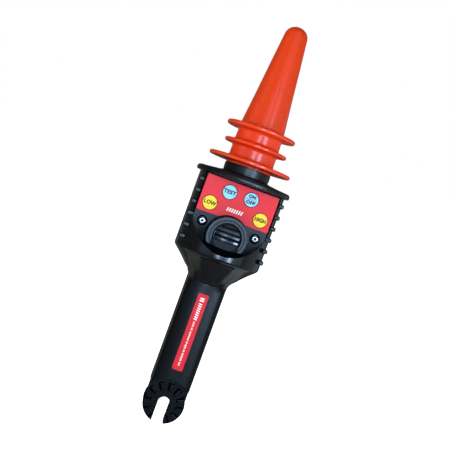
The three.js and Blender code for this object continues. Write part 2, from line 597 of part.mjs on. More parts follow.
for (const z of FORK_SCREW_Z) fork = fork.subtract(barY(1.8, -9.5, 30, 0, z, 8));
fork = fork.subtract(box(-9, 9, -20, -9.8, 29, 54)).subtract(box(-60, 60, -3, 3, 56, 70));
piece('spline_fork', fork, 'black', handleGroup);
for (const [i, name] of ['fork_screw_lower', 'fork_screw_upper'].entries()) {
  const z = FORK_SCREW_Z[i];
  let screw = barY(2.9, 14.9, 15.9, 0, z, 12).add(barY(1.4, -8.8, 15.2, 0, z, 8));
  screw = screw.subtract(box(-2, 2, 15.5, 20, z - 0.4, z + 0.4));
  piece(name, screw, 'steel', handleGroup);
}

// handle label
const labelOutline = round4(5.2, 33.9, 104.6, 1.4);
piece('handle_label', prismY(labelOutline, -HANDLE_HALF_D - GAP - 0.4, -HANDLE_HALF_D - GAP), 'red', handleGroup);

export default tester;
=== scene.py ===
"""Looks of the non contact voltage tester: fine meshes over the CAD frame, procedural materials, studio light and camera. Metres, +Z towards the cone tip, panel facing -Y."""
import math

import bmesh
import bpy
import numpy as np
from mathutils import Matrix, Quaternion, Vector


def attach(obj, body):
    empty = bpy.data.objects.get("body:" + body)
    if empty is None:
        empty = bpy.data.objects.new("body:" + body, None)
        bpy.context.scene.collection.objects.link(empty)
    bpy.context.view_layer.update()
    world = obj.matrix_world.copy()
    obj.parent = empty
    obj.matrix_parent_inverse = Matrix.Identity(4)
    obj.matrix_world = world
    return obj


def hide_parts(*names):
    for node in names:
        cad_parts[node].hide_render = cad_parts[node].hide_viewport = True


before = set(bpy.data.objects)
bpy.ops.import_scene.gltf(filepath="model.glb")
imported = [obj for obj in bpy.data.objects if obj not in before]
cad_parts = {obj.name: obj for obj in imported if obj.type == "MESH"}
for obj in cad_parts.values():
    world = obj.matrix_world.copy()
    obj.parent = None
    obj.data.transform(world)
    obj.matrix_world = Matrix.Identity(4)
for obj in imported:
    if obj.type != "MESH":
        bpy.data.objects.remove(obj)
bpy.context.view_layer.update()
MM = 0.001
scene = bpy.context.scene

# ------------------------------------------------------------------ dimensions, mm, as in the CAD
DISC_R, SLOT_W, PLATE_T = 18.96, 10.8, 6.0
TOOTH_H, TOOTH_R0, TOOTH_R1, TOOTH_DEG = 1.2, 12.2, 18.0, 15.0
NECK_W, STEP_R = 17.8, 24.0
TANG_W, TANG_D, TANG_TOP = 14.6, 13.4, 58.0
HW, HD, HC, WALL = 17.8, 16.25, 4.5, 2.4
HEAD_R, HEAD_Z1 = 40.0, 207.2
POCKET_R, POCKET_CZ, POCKET_Y = 35.0, 177.8, -19.0
P_FRONT, P_BACK, P_HALF, P_R, P_TOP = -22.0, -19.8, 33.2, 34.2, 206.6
NUB_Z = [199.96, 189.47, 178.97, 168.47, 157.97, 147.47]
KEY_R = 6.45
KEYS = {"key_test": (-10.0, 196.75), "key_on_off": (10.0, 196.75), "key_low": (-23.4, 182.5), "key_high": (23.4, 182.5)}
HOOD_CZ, HOOD_R, HOOD_IN, HOOD_Y, HOOD_B, HOOD_BR = 158.6, 18.15, 12.65, -34.0, 148.25, 80.0
SCREW_X, SCREW_Z = 24.4, 165.6
SHELL_SCREWS = {
    "shell_screw_upper_left": (-32.0, 203.0), "shell_screw_upper_right": (32.0, 203.0),
    "shell_screw_lower_left": (-32.0, 146.4), "shell_screw_lower_right": (32.0, 146.4),
}
FORK_SCREW_Z = (33.0, 50.0)
DOOR_W, DOOR_Z0, DOOR_Z1 = 27.0, 150.5, 196.5
DOOR_SCREW_Z = DOOR_Z1 - 4.6
CELLS = {"cell_left": (-13.4, 19.5), "cell_right": (13.4, 19.5), "cell_front": (0.0, -3.4)}
CELL_R, CELL_Z0, CELL_Z1 = 13.1, 148.7, 196.7


# ------------------------------------------------------------------ mesh tools (all lengths in mm)
def new_object(name, verts, faces):
    me = bpy.data.meshes.new(name)
    me.from_pydata([tuple(c * MM for c in v) for v in verts], [], faces)
    me.update()
    ob = bpy.data.objects.new(name, me)
    scene.collection.objects.link(ob)
    bm = bmesh.new()
    bm.from_mesh(me)
    bmesh.ops.remove_doubles(bm, verts=bm.verts, dist=1e-7)
    bmesh.ops.recalc_face_normals(bm, faces=bm.faces)
    if bm.calc_volume(signed=True) < 0:
        bmesh.ops.reverse_faces(bm, faces=bm.faces)
    bm.to_mesh(me)
    bm.free()
    return ob


def tmp(verts, faces):
    return new_object("tmp", verts, faces)


def box(x0, x1, y0, y1, z0, z1):
    v = [(x, y, z) for z in (z0, z1) for y in (y0, y1) for x in (x0, x1)]
    return tmp(v, [(0, 2, 3, 1), (4, 5, 7, 6), (0, 1, 5, 4), (1, 3, 7, 5), (3, 2, 6, 7), (2, 0, 4, 6)])


def loft(rings, cap=True):
    n = len(rings[0])
    verts = [p for r in rings for p in r]
    faces = []
    for k in range(len(rings) - 1):
        for i in range(n):
            j = (i + 1) % n
            faces.append((k * n + i, k * n + j, (k + 1) * n + j, (k + 1) * n + i))
    if cap:
        faces.append(tuple(range(n - 1, -1, -1)))
        faces.append(tuple(range((len(rings) - 1) * n, len(rings) * n)))
    return tmp(verts, faces)


def prism_y(outline, y0, y1):
    return loft([[(x, y0, z) for x, z in outline], [(x, y1, z) for x, z in outline]])


def prism_z(outline, z0, z1):
    return loft([[(x, y, z0) for x, y in outline], [(x, y, z1) for x, y in outline]])


def arc(cx, cy, r, a0, a1, n):
    return [(cx + r * math.cos(a0 + (a1 - a0) * i / n), cy + r * math.sin(a0 + (a1 - a0) * i / n)) for i in range(n + 1)]


def circle(cx, cy, r, n):
    return arc(cx, cy, r, 0, 2 * math.pi, n)[:-1]


def round4(hw, z0, z1, r, n=10):
    return (arc(hw - r, z1 - r, r, 0, math.pi / 2, n) + arc(-hw + r, z1 - r, r, math.pi / 2, math.pi, n)
            + arc(-hw + r, z0 + r, r, math.pi, 1.5 * math.pi, n) + arc(hw - r, z0 + r, r, 1.5 * math.pi, 2 * math.pi, n))


def bar_y(r, y0, y1, x=0.0, z=0.0, n=48):
    return prism_y(circle(x, z, r, n), y0, y1)


def bar_z(r, z0, z1, x=0.0, y=0.0, n=48):
    return prism_z(circle(x, y, r, n), z0, z1)


def lathe(profile, n=128, axis="Z", at=(0.0, 0.0, 0.0), flip=False):
    """Closed solid of revolution; profile points are (radius, height). Points on the axis become poles."""
    verts, faces, rows = [], [], []
    for r, h in profile:
        if r < 1e-6:
            rows.append([len(verts)] * n)
            verts.append((0.0, 0.0, h))
        else:
            rows.append(list(range(len(verts), len(verts) + n)))
            verts += [(r * math.cos(2 * math.pi * i / n), r * math.sin(2 * math.pi * i / n), h) for i in range(n)]
    closed = profile[0][0] > 1e-6 or profile[-1][0] > 1e-6
    pairs = list(zip(rows[:-1], rows[1:])) + ([(rows[-1], rows[0])] if closed else [])
    for a, b in pairs:
        for i in range(n):
            j = (i + 1) % n
            f = []
            for v in (a[i], a[j], b[j], b[i]):
                if v not in f:
                    f.append(v)
            if len(f) > 2:
                faces.append(tuple(f))
    if axis == "Y":  # height runs towards -Y
        verts = [(x + at[0], -z + at[1], y + at[2]) for x, y, z in verts]
    else:
        verts = [(x + at[0], y + at[1], (-z if flip else z) + at[2]) for x, y, z in verts]
    return tmp(verts, faces)


def boolean(a, b, op="DIFFERENCE", keep=False):
    m = a.modifiers.new("b", "BOOLEAN")
    m.operation, m.object, m.solver = op, b, "EXACT"
    bpy.context.view_layer.update()
    dg = bpy.context.evaluated_depsgraph_get()
    me = bpy.data.meshes.new_from_object(a.evaluated_get(dg), depsgraph=dg)
    a.modifiers.clear()
    old = a.data
    a.data = me
    bpy.data.meshes.remove(old)
    if not keep:
        bpy.data.objects.remove(b, do_unlink=True)
    return a


def cut(a, *bs):
    for b in bs:
        boolean(a, b)
    return a


def join(a, *bs):
    for b in bs:
        boolean(a, b, "UNION")
    return a


def common(a, b):
    return boolean(a, b, "INTERSECT")


def copy(a):
    c = a.copy()
    c.data = a.data.copy()
    scene.collection.objects.link(c)
    return c


def tidy(ob, flat=0.35, dist=2e-6):
    bm = bmesh.new()
    bm.from_mesh(ob.data)
    bmesh.ops.remove_doubles(bm, verts=bm.verts, dist=dist)
    bmesh.ops.dissolve_degenerate(bm, edges=bm.edges, dist=dist)
    if flat:
        bmesh.ops.dissolve_limit(bm, angle_limit=math.radians(flat), verts=bm.verts, edges=bm.edges, use_dissolve_boundaries=False, delimit={"NORMAL"})
    loose = [v for v in bm.verts if not v.link_faces]
    bmesh.ops.delete(bm, geom=loose, context="VERTS")
    bmesh.ops.recalc_face_normals(bm, faces=bm.faces)
    bm.to_mesh(ob.data)
    bm.free()
    return ob


def bevelled(ob, width, angle=32.0, segs=3, clamp=True):
    if width:
        b = ob.modifiers.new("edge", "BEVEL")
        b.width, b.segments, b.limit_method, b.angle_limit = width * MM, segs, "ANGLE", math.radians(angle)
        b.use_clamp_overlap = clamp
        b.miter_outer = "MITER_ARC"
        b.harden_normals = False
    for p in ob.data.polygons:
        p.use_smooth = True
    if not width:
        bm = bmesh.new()
        bm.from_mesh(ob.data)
        for e in bm.edges:
            if len(e.link_faces) == 2 and e.calc_face_angle(0.0) > math.radians(34):
                e.smooth = False
        bm.to_mesh(ob.data)
        bm.free()
    w = ob.modifiers.new("shade", "WEIGHTED_NORMAL")
    w.keep_sharp = True
    w.weight = 60
    return ob


def piece(ob, name, body, mat, nodes=(), width=0.0, angle=32.0, segs=3, flat=0.35, clean=True, clamp=True):
    if not ob.data.polygons:
        raise RuntimeError("piece " + name + " has no faces left")
    ob.name = name
    ob.data.name = name
    if clean:
        tidy(ob, flat)
    ob.data.materials.clear()
    ob.data.materials.append(mat)
    bevelled(ob, width, angle, segs, clamp)
    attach(ob, body)
    if nodes:
        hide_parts(*nodes)
    return ob


# ------------------------------------------------------------------ materials
def shader(name, base, rough, grain=1800.0, bump=0.012, vary=0.06, rvary=0.06, metal=0.0, scratch=0.0, spec=0.5, coat=0.0, coat_rough=0.2,
           sss=0.0, ior=1.5, dust=0.0, brushed=None, alpha=1.0, mottling=38.0):
    """A moulded or printed surface: slow colour drift, fine grain in roughness and relief, and faint handling marks."""
    m = bpy.data.materials.new(name)
    m.use_nodes = True
    nt = m.node_tree
    for n in list(nt.nodes):
        nt.nodes.remove(n)
    out = nt.nodes.new("ShaderNodeOutputMaterial")
    p = nt.nodes.new("ShaderNodeBsdfPrincipled")
    nt.links.new(p.outputs["BSDF"], out.inputs["Surface"])
    tc = nt.nodes.new("ShaderNodeTexCoord")
    mp = nt.nodes.new("ShaderNodeMapping")
    nt.links.new(tc.outputs["Object"], mp.inputs["Vector"])
    if brushed:
        mp.inputs["Scale"].default_value = brushed
    slow = nt.nodes.new("ShaderNodeTexNoise")
    slow.inputs["Scale"].default_value = mottling
    slow.inputs["Detail"].default_value = 4.0
    fine = nt.nodes.new("ShaderNodeTexNoise")
    fine.inputs["Scale"].default_value = grain
    fine.inputs["Detail"].default_value = 3.0
    fine.inputs["Roughness"].default_value = 0.6
    nt.links.new(tc.outputs["Object"], slow.inputs["Vector"])
    nt.links.new(mp.outputs["Vector"], fine.inputs["Vector"])
    ramp = nt.nodes.new("ShaderNodeValToRGB")
    ramp.color_ramp.elements[0].position, ramp.color_ramp.elements[1].position = 0.3, 0.7
    lo = [max(0.0, c * (1 - vary)) for c in base]
    hi = [min(1.0, c * (1 + vary)) for c in base]
    ramp.color_ramp.elements[0].color = (*lo, 1)
    ramp.color_ramp.elements[1].color = (*hi, 1)
    nt.links.new(slow.outputs["Fac"], ramp.inputs["Fac"])
    colour = ramp.outputs["Color"]
    rr = nt.nodes.new("ShaderNodeMapRange")
    rr.inputs["From Min"].default_value, rr.inputs["From Max"].default_value = 0.3, 0.7
    rr.inputs["To Min"].default_value, rr.inputs["To Max"].default_value = max(0.02, rough - rvary), min(1.0, rough + rvary)
    nt.links.new(fine.outputs["Fac"], rr.inputs["Value"])
    rough_out = rr.outputs["Result"]
    if scratch:
        sc = nt.nodes.new("ShaderNodeTexNoise")
        sm = nt.nodes.new("ShaderNodeMapping")
        sm.inputs["Scale"].default_value = (1.0, 1.0, 0.06)
        sm.inputs["Rotation"].default_value = (0.25, 0.4, 0.1)
        nt.links.new(tc.outputs["Object"], sm.inputs["Vector"])
        nt.links.new(sm.outputs["Vector"], sc.inputs["Vector"])
        sc.inputs["Scale"].default_value = 900.0
        sc.inputs["Detail"].default_value = 2.0
        cr = nt.nodes.new("ShaderNodeMapRange")
        cr.inputs["From Min"].default_value, cr.inputs["From Max"].default_value = 0.66, 0.72
        cr.inputs["To Min"].default_value, cr.inputs["To Max"].default_value = 0.0, scratch
        nt.links.new(sc.outputs["Fac"], cr.inputs["Value"])
        ad = nt.nodes.new("ShaderNodeMath")
        ad.operation = "ADD"
        ad.use_clamp = True
        nt.links.new(rough_out, ad.inputs[0])
        nt.links.new(cr.outputs["Result"], ad.inputs[1])
        rough_out = ad.outputs[0]
    nt.links.new(colour, p.inputs["Base Color"])
    nt.links.new(rough_out, p.inputs["Roughness"])
    bp = nt.nodes.new("ShaderNodeBump")
    bp.inputs["Strength"].default_value = 0.35
    bp.inputs["Distance"].default_value = bump * MM
    nt.links.new(fine.outputs["Fac"], bp.inputs["Height"])
    nt.links.new(bp.outputs["Normal"], p.inputs["Normal"])
    p.inputs["Metallic"].default_value = metal
    p.inputs["IOR"].default_value = ior
    p.inputs["Specular IOR Level"].default_value = spec
    p.inputs["Coat Weight"].default_value = coat
    p.inputs["Coat Roughness"].default_value = coat_rough
    if sss:
        p.inputs["Subsurface Weight"].default_value = sss
        p.inputs["Subsurface Radius"].default_value = (0.004, 0.0012, 0.0004)
        p.inputs["Subsurface Scale"].default_value = 1.0
    if alpha < 1:
        p.inputs["Alpha"].default_value = alpha
    m.diffuse_color = (*base, 1)
    return m


def ring_print_and_shade(m, centre, inner, outer, colour):
    """Adds a ring or disc of colour round a point of the XZ plane to a material: a printed ring on a key, painted shade
    in a screw's socket.
    """
    nt = m.node_tree
    p = next(n for n in nt.nodes if n.type == "BSDF_PRINCIPLED")
    tc = next(n for n in nt.nodes if n.type == "TEX_COORD")
    old = p.inputs["Base Color"].links[0].from_socket
    sep = nt.nodes.new("ShaderNodeSeparateXYZ")
    nt.links.new(tc.outputs["Object"], sep.inputs["Vector"])
    sq = []
    for k, c in (("X", centre[0]), ("Z", centre[1])):
        s = nt.nodes.new("ShaderNodeMath")
        s.operation = "SUBTRACT"
        nt.links.new(sep.outputs[k], s.inputs[0])
        s.inputs[1].default_value = c * MM
        q = nt.nodes.new("ShaderNodeMath")
        q.operation = "MULTIPLY"
        nt.links.new(s.outputs[0], q.inputs[0])
        nt.links.new(s.outputs[0], q.inputs[1])
        sq.append(q.outputs[0])
    ad = nt.nodes.new("ShaderNodeMath")
    ad.operation = "ADD"
    nt.links.new(sq[0], ad.inputs[0])
    nt.links.new(sq[1], ad.inputs[1])
    rt = nt.nodes.new("ShaderNodeMath")
    rt.operation = "SQRT"
    nt.links.new(ad.outputs[0], rt.inputs[0])
    r = nt.nodes.new("ShaderNodeMapRange")
    r.inputs["From Min"].default_value, r.inputs["From Max"].default_value = inner * MM, outer * MM
    nt.links.new(rt.outputs[0], r.inputs["Value"])
    mx = nt.nodes.new("ShaderNodeMix")
    mx.data_type = "RGBA"
    nt.links.new(r.outputs["Result"], mx.inputs["Factor"])
    nt.links.new(old, mx.inputs["A"])
    mx.inputs["B"].default_value = (*colour, 1)
    nt.links.new(mx.outputs["Result"], p.inputs["Base Color"])
    return m


def position(m):
    nt = m.node_tree
    tc = next(n for n in nt.nodes if n.type == "TEX_COORD")
    sep = nt.nodes.new("ShaderNodeSeparateXYZ")
    nt.links.new(tc.outputs["Object"], sep.inputs["Vector"])
    return nt, sep


def ramp_of(nt, sock, a, b):
    """0 at a, 1 at b (mm)."""
    r = nt.nodes.new("ShaderNodeMapRange")
    r.inputs["From Min"].default_value, r.inputs["From Max"].default_value = a * MM, b * MM
    nt.links.new(sock, r.inputs["Value"])
    return r.outputs["Result"]


def math2(nt, op, a, b):
    n = nt.nodes.new("ShaderNodeMath")
    n.operation = op
    for k, v in ((0, a), (1, b)):
        if isinstance(v, (int, float)):
            n.inputs[k].default_value = v
        else:
            nt.links.new(v, n.inputs[k])
    return n.outputs[0]


def matte_and_painted_shade_where(m, mask, rough, dark, sheen=None):
    """Blends towards a matt finish, with less sheen when asked and a darker base colour, where the mask is 1; the
    darker colour paints shade into recesses, gaps and shaded faces.
    """
    nt = m.node_tree
    p = next(n for n in nt.nodes if n.type == "BSDF_PRINCIPLED")
    goals = [("Roughness", "FLOAT", rough), ("Base Color", "RGBA", dark)]
    if sheen is not None:
        goals.append(("Specular IOR Level", "FLOAT", sheen))
    for name, kind, goal in goals:
        mx = nt.nodes.new("ShaderNodeMix")
        mx.data_type = kind
        ins = [x for x in mx.inputs if x.enabled]
        outs = [x for x in mx.outputs if x.enabled]
        fa = next(x for x in ins if x.name == "Factor")
        A = next(x for x in ins if x.name == "A")
        B = next(x for x in ins if x.name == "B")
        nt.links.new(mask, fa)
        if p.inputs[name].links:
            nt.links.new(p.inputs[name].links[0].from_socket, A)
        else:
            A.default_value = p.inputs[name].default_value
        B.default_value = (*goal, 1) if kind == "RGBA" else goal
        nt.links.new(outs[0], p.inputs[name])
    return m


BLACK = shader("shell_plastic", (0.0034, 0.0042, 0.0054), 0.21, grain=2400, bump=0.010, vary=0.15, rvary=0.05, scratch=0.08)
FORK_M = shader("fork_plastic", (0.0020, 0.0032, 0.0050), 0.26, grain=2000, bump=0.014, vary=0.15, rvary=0.06, scratch=0.10, spec=0.21)
PLATE_M = shader("plate_plastic", (0.0024, 0.0060, 0.0092), 0.44, grain=2600, bump=0.010, vary=0.12, rvary=0.05, scratch=0.06, spec=0.30)
GRILLE_M = shader("grille_plastic", (0.0036, 0.0100, 0.0170), 0.40, grain=2600, bump=0.008, vary=0.12, rvary=0.05, spec=0.40)
SLAT_M = shader("slat_plastic", (0.0046, 0.0088, 0.0145), 0.145, grain=2600, bump=0.008, vary=0.12, rvary=0.05)
ORANGE = shader("cone_plastic", (0.78, 0.050, 0.0045), 0.27, grain=1500, bump=0.012, vary=0.03, rvary=0.04, scratch=0.05, sss=0.10, spec=0.40)
RED_FILM = shader("printed_film_red", (0.67, 0.0175, 0.026), 0.42, grain=3200, bump=0.005, vary=0.03, rvary=0.05, spec=0.16)
LABEL_RED = shader("label_film_red", (0.54, 0.003, 0.016), 0.40, grain=3200, bump=0.004, vary=0.04, rvary=0.05, spec=0.2)
WHITE_INK = shader("white_ink", (0.88, 0.80, 0.80), 0.5, grain=3200, bump=0.002, vary=0.03)
NAVY_INK = shader("navy_ink", (0.004, 0.015, 0.050), 0.6, grain=3200, bump=0.002, vary=0.05, spec=0.1)
OLIVE_INK = shader("olive_ink", (0.045, 0.036, 0.004), 0.6, grain=3200, bump=0.002, vary=0.05, spec=0.1)
STEEL = shader("bright_steel_plate", (0.36, 0.38, 0.42), 0.21, grain=2600, bump=0.006, vary=0.04, rvary=0.06, metal=1.0)
BRASS = shader("brass_plain", (0.66, 0.42, 0.17), 0.28, grain=1800, bump=0.006, vary=0.06, metal=1.0)
RUBBER = shader("black_rubber_soft", (0.010, 0.010, 0.011), 0.62, grain=2200, bump=0.02, vary=0.1)
BOARD = shader("solder_mask", (0.012, 0.085, 0.035), 0.38, grain=900, bump=0.01, vary=0.2)
NATURAL = shader("natural_moulding", (0.62, 0.58, 0.47), 0.42, grain=1600, bump=0.01, vary=0.03, sss=0.05)
LED = shader("tinted_lens", (0.45, 0.012, 0.010), 0.12, grain=1200, bump=0.002, vary=0.05)
CELL_M = shader("cell_sleeve", (0.022, 0.07, 0.22), 0.24, grain=1600, bump=0.004, vary=0.05)
NUB_M = shader("nub_plastic", (0.0026, 0.0038, 0.0052), 0.38, grain=2200, bump=0.012, vary=0.15, rvary=0.05, spec=0.36)
# near-black, dull sheet material for the slot below the hood: painted shade
SHADE_SHEET = shader("painted_shade_sheet", (0.0010, 0.0013, 0.0022), 0.9, grain=2200, bump=0.012, vary=0.2, spec=0.04)
NECK_M = shader("neck_plastic", (0.0034, 0.0048, 0.0062), 0.38, grain=2400, bump=0.010, vary=0.15, rvary=0.05, scratch=0.06, spec=0.46)

# painted shade: the sunk foot of the panel, the slot round the hood and the counterbores round the screws are darkened
# and given a matt, unpolished finish
nt, sep = position(PLATE_M)
low = ramp_of(nt, sep.outputs["Z"], 166.0, 151.0)
px = math2(nt, "MULTIPLY", sep.outputs["X"], sep.outputs["X"])
dz = math2(nt, "SUBTRACT", sep.outputs["Z"], HOOD_CZ * MM)
rad = math2(nt, "SQRT", math2(nt, "ADD", px, math2(nt, "MULTIPLY", dz, dz)), 0.0)
slot_shade = ramp_of(nt, rad, 19.3, 18.9)
matte_and_painted_shade_where(PLATE_M, low, 0.85, (0.0022, 0.0026, 0.0032))
sx = math2(nt, "SUBTRACT", math2(nt, "ABSOLUTE", sep.outputs["X"], 0.0), SCREW_X * MM)
sz = math2(nt, "SUBTRACT", sep.outputs["Z"], SCREW_Z * MM)
srad = math2(nt, "SQRT", math2(nt, "ADD", math2(nt, "MULTIPLY", sx, sx), math2(nt, "MULTIPLY", sz, sz)), 0.0)
matte_and_painted_shade_where(PLATE_M, math2(nt, "MAXIMUM", ramp_of(nt, srad, 4.7, 4.5), slot_shade), 0.9, (0.0012, 0.0016, 0.0022), sheen=0.06)
# shell: painted shade, darker and matt, on the floor of the pocket, in the groove under the chin and on the facet below
# the head; the grip is made rougher, less glossy and a little darker
nt, sep = position(BLACK)
pocket_floor_shade = math2(nt, "MULTIPLY", ramp_of(nt, sep.outputs["Y"], -19.5, -19.2), ramp_of(nt, sep.outputs["Y"], -18.2, -18.6))
pocket_floor_shade = math2(nt, "MULTIPLY", pocket_floor_shade, ramp_of(nt, sep.outputs["Z"], 139.5, 141.0))
ax = math2(nt, "ABSOLUTE", sep.outputs["X"], 0.0)
pocket_floor_shade = math2(nt, "MULTIPLY", pocket_floor_shade, ramp_of(nt, ax, 35.25, 35.05))
grip = ramp_of(nt, sep.outputs["Z"], 116.0, 112.0)
chin_groove_shade = math2(nt, "MULTIPLY", ramp_of(nt, sep.outputs["Z"], 134.9, 135.4), ramp_of(nt, sep.outputs["Z"], 136.95, 136.75))
chin_groove_shade = math2(nt, "MULTIPLY", chin_groove_shade, math2(nt, "MULTIPLY", ramp_of(nt, ax, 15.6, 15.3), ramp_of(nt, sep.outputs["Y"], -30.0, -31.0)))
facet_shade = math2(nt, "MULTIPLY", ramp_of(nt, sep.outputs["Z"], 114.8, 116.0), ramp_of(nt, sep.outputs["Z"], 135.0, 134.2))
lean = math2(nt, "SUBTRACT", ax, math2(nt, "MULTIPLY", sep.outputs["Z"], 0.3))
facet_shade = math2(nt, "MULTIPLY", facet_shade, math2(nt, "MULTIPLY", ramp_of(nt, lean, -24.6, -27.4), ramp_of(nt, sep.outputs["Y"], -16.0, -17.0)))
facet_shade = math2(nt, "MULTIPLY", facet_shade, 0.75)
matte_and_painted_shade_where(BLACK, grip, 0.32, (0.0026, 0.0036, 0.0046), sheen=0.20)
matte_and_painted_shade_where(BLACK, math2(nt, "MAXIMUM", facet_shade, math2(nt, "MAXIMUM", pocket_floor_shade, chin_groove_shade)), 0.9, (0.0018, 0.0022, 0.0026), sheen=0.12)
# grille: painted shade, darker and matt, on the frame, the foot, the upper blades and the left side of the blades; the
# blades get glossier and lighter from the top one down
nt, sep = position(SLAT_M)
dz = math2(nt, "SUBTRACT", sep.outputs["Z"], HOOD_CZ * MM)
rad = math2(nt, "SQRT", math2(nt, "ADD", math2(nt, "MULTIPLY", sep.outputs["X"], sep.outputs["X"]), math2(nt, "MULTIPLY", dz, dz)), 0.0)
rim = math2(nt, "MULTIPLY", ramp_of(nt, rad, 11.45, 11.6), 0.85)
foot = math2(nt, "MULTIPLY", ramp_of(nt, sep.outputs["Z"], 154.5, 154.2), 0.66)
rows = math2(nt, "MULTIPLY", ramp_of(nt, sep.outputs["Z"], 157.8, 170.0), 0.8)
left_side_shade = math2(nt, "MULTIPLY", ramp_of(nt, sep.outputs["X"], 4.0, -2.0), 0.12)
matte_and_painted_shade_where(SLAT_M, math2(nt, "MAXIMUM", math2(nt, "MAXIMUM", rim, foot), math2(nt, "MAXIMUM", rows, left_side_shade)), 0.8, (0.0030, 0.0048, 0.0075), sheen=0.08)
# fork: the reliefs round the teeth and the cast rim are left rough and darker; the darkening is painted shade in the
# reliefs
nt, sep = position(FORK_M)
matte_and_painted_shade_where(FORK_M, math2(nt, "MULTIPLY", ramp_of(nt, math2(nt, "ABSOLUTE", sep.outputs["Y"], 0.0), 5.93, 5.86), ramp_of(nt, sep.outputs["Z"], 27, 26)), 0.9, (0.0010, 0.0014, 0.0020), sheen=0.03)
KEY_MATS = {}
for key, (kx, kz) in KEYS.items():
    blue = key in ("key_test", "key_on_off")
    KEY_MATS[key] = ring_print_and_shade(
        shader("film_" + key, (0.27, 0.64, 0.92) if blue else (0.80, 0.64, 0.018), 0.42, grain=3200, bump=0.004, vary=0.03, spec=0.2),
        (kx, kz), 5.95, 6.15, (0.10, 0.05, 0.16) if blue else (0.38, 0.14, 0.03),
    )

# ------------------------------------------------------------------ the body's shape
FLARE = [(115.4, 0, 0.03), (118.4, 0.05, 0.115), (121.1, 0.175, 0.165), (123.8, 0.325, 0.195), (127.4, 0.48, 0.235), (131.0, 0.648, 0.34),
         (134.6, 0.83, 0.60), (136.6, 0.935, 0.93), (138.2, 0.985, 0.995), (139.6, 1.0, 1.0)]
FZ = np.array([f[0] for f in FLARE])


def flare(z, k):
    return float(np.interp(z, FZ, np.array([f[k] for f in FLARE])))


def rect_r(a, hw, hd, r):
    c, s = abs(math.cos(a)), abs(math.sin(a))
    k = min(hw / c if c > 1e-9 else 1e9, hd / s if s > 1e-9 else 1e9)
    x, y = k * c, k * s
    if x <= hw - r or y <= hd - r:
        return k
    cx, cy = hw - r, hd - r
    b = c * cx + s * cy
    return b + math.sqrt(max(0.0, b * b - (cx * cx + cy * cy - r * r)))


def crease(z):
    return math.radians(float(np.interp(z, [115.6, 136.8], [62.9, 67.3])))


def quadrant(z):
    """Direction angles of one quarter, with a corner's arc and the crease always on a column. Returns (angle, share of the facet)."""
    t1, t2, ph = math.atan2(HD - HC, HW), math.atan2(HD, HW - HC), crease(z)
    q = [(t1 * i / 8, 0.0) for i in range(8)]
    for i in range(9):
        a = math.pi / 2 * i / 8
        q.append((math.atan2(HD - HC + HC * math.sin(a), HW - HC + HC * math.cos(a)), 0.0))
    q += [(t2 + (ph - t2) * i / 4, 0.0) for i in range(1, 4)]
    q += [(ph + (math.pi / 2 - ph) * i / 7, i / 7) for i in range(8)]
    return q


def section(z, inset=0.0, dz=0.0, facet=True, bulge=0.9):
    q = quadrant(z)
    full = [(a, s, 1) for a, s in q] + [(math.pi - a, s, 1) for a, s in q[-2::-1]]
    full += [(math.pi + a, s, -1) for a, s in q[1:]] + [(2 * math.pi - a, s, -1) for a, s in q[-2:0:-1]]
    pts = []
    ph = crease(z)
    tf, tr = flare(z, 1), flare(z, 2)
    for a, share, side in full:
        s = math.sin(a)
        t = tf if s < -0.05 else tr if s > 0.05 else tf + (tr - tf) * (s + 0.05) / 0.1
        rc = max(HC - inset, 1.2)
        r = rect_r(a, HW - inset, HD - inset, rc) * (1 - t) + (HEAD_R - inset) * t
        x, y = r * math.cos(a), r * math.sin(a)
        zz = z + dz
        if side < 0 and facet and share > 0:
            rp = rect_r(ph, HW - inset, HD - inset, rc) * (1 - tf) + (HEAD_R - inset) * tf
            xc, yc = rp * math.cos(ph), rp * math.sin(ph)
            natural = rect_r(math.pi / 2, HW - inset, HD - inset, rc) * (1 - tf) + (HEAD_R - inset) * tf - yc
            b = min(natural, bulge)
            x = math.copysign(xc * (1 - share), x)
            y = -(yc + b * (1 - (x / xc) ** 2))
        if side < 0 and inset == 0:  # the grip's front is crowned
            k = min(1.0, abs(y) / (HD - inset))
            y += x * x / 96.0 * k * k * float(np.interp(z, [111.5, 117.5], [1, 0]))
        if side < 0 and share > 0:  # the facet's foot runs down onto the handle in a shallow U
            w = float(np.interp(z, [108, 114.5, 116.5, 126], [0, 1, 1, 0]))
            zz -= 1.9 * w * (1 - (1 - share) ** 2)
        pts.append((x, y, zz))
    return pts


Z_LOW = [6, 15, 24, 33, 42, 51, 60, 69, 78, 87, 96, 104, 109, 112.5, 114.6, 115.4, 116.1, 117.2, 118.4, 119.8, 121.1, 122.4, 123.8, 125.6, 127.4,
         129.2, 131.0, 132.8, 134.6, 135.8, 136.6]
outer = [section(z) for z in Z_LOW] + [section(136.75, facet=False)]
outer += [section(z, facet=False) for z in (137.4, 138.2, 139.0, 139.8, 140.9, 146, 153, 160, 168, 176, 184, 192, 200, HEAD_Z1)]
inner = [section(z, WALL, 2.2 if z > 100 else 0.0, facet=False) for z in (5, 60, 104, 115.4, 118.4, 121.1, 123.8, 127.4, 131.0, 134.6, 136.6, 138.2, 141.4)]
inner += [[(x, y, z) for x, y, _ in section(150, WALL, facet=False)] for z in (150, 170, 190, 212)]


def u_outline(r, top, n=64, cz=POCKET_CZ):
    return [(-r, top)] + arc(0, cz, r, math.pi, 2 * math.pi, n) + [(r, top)]


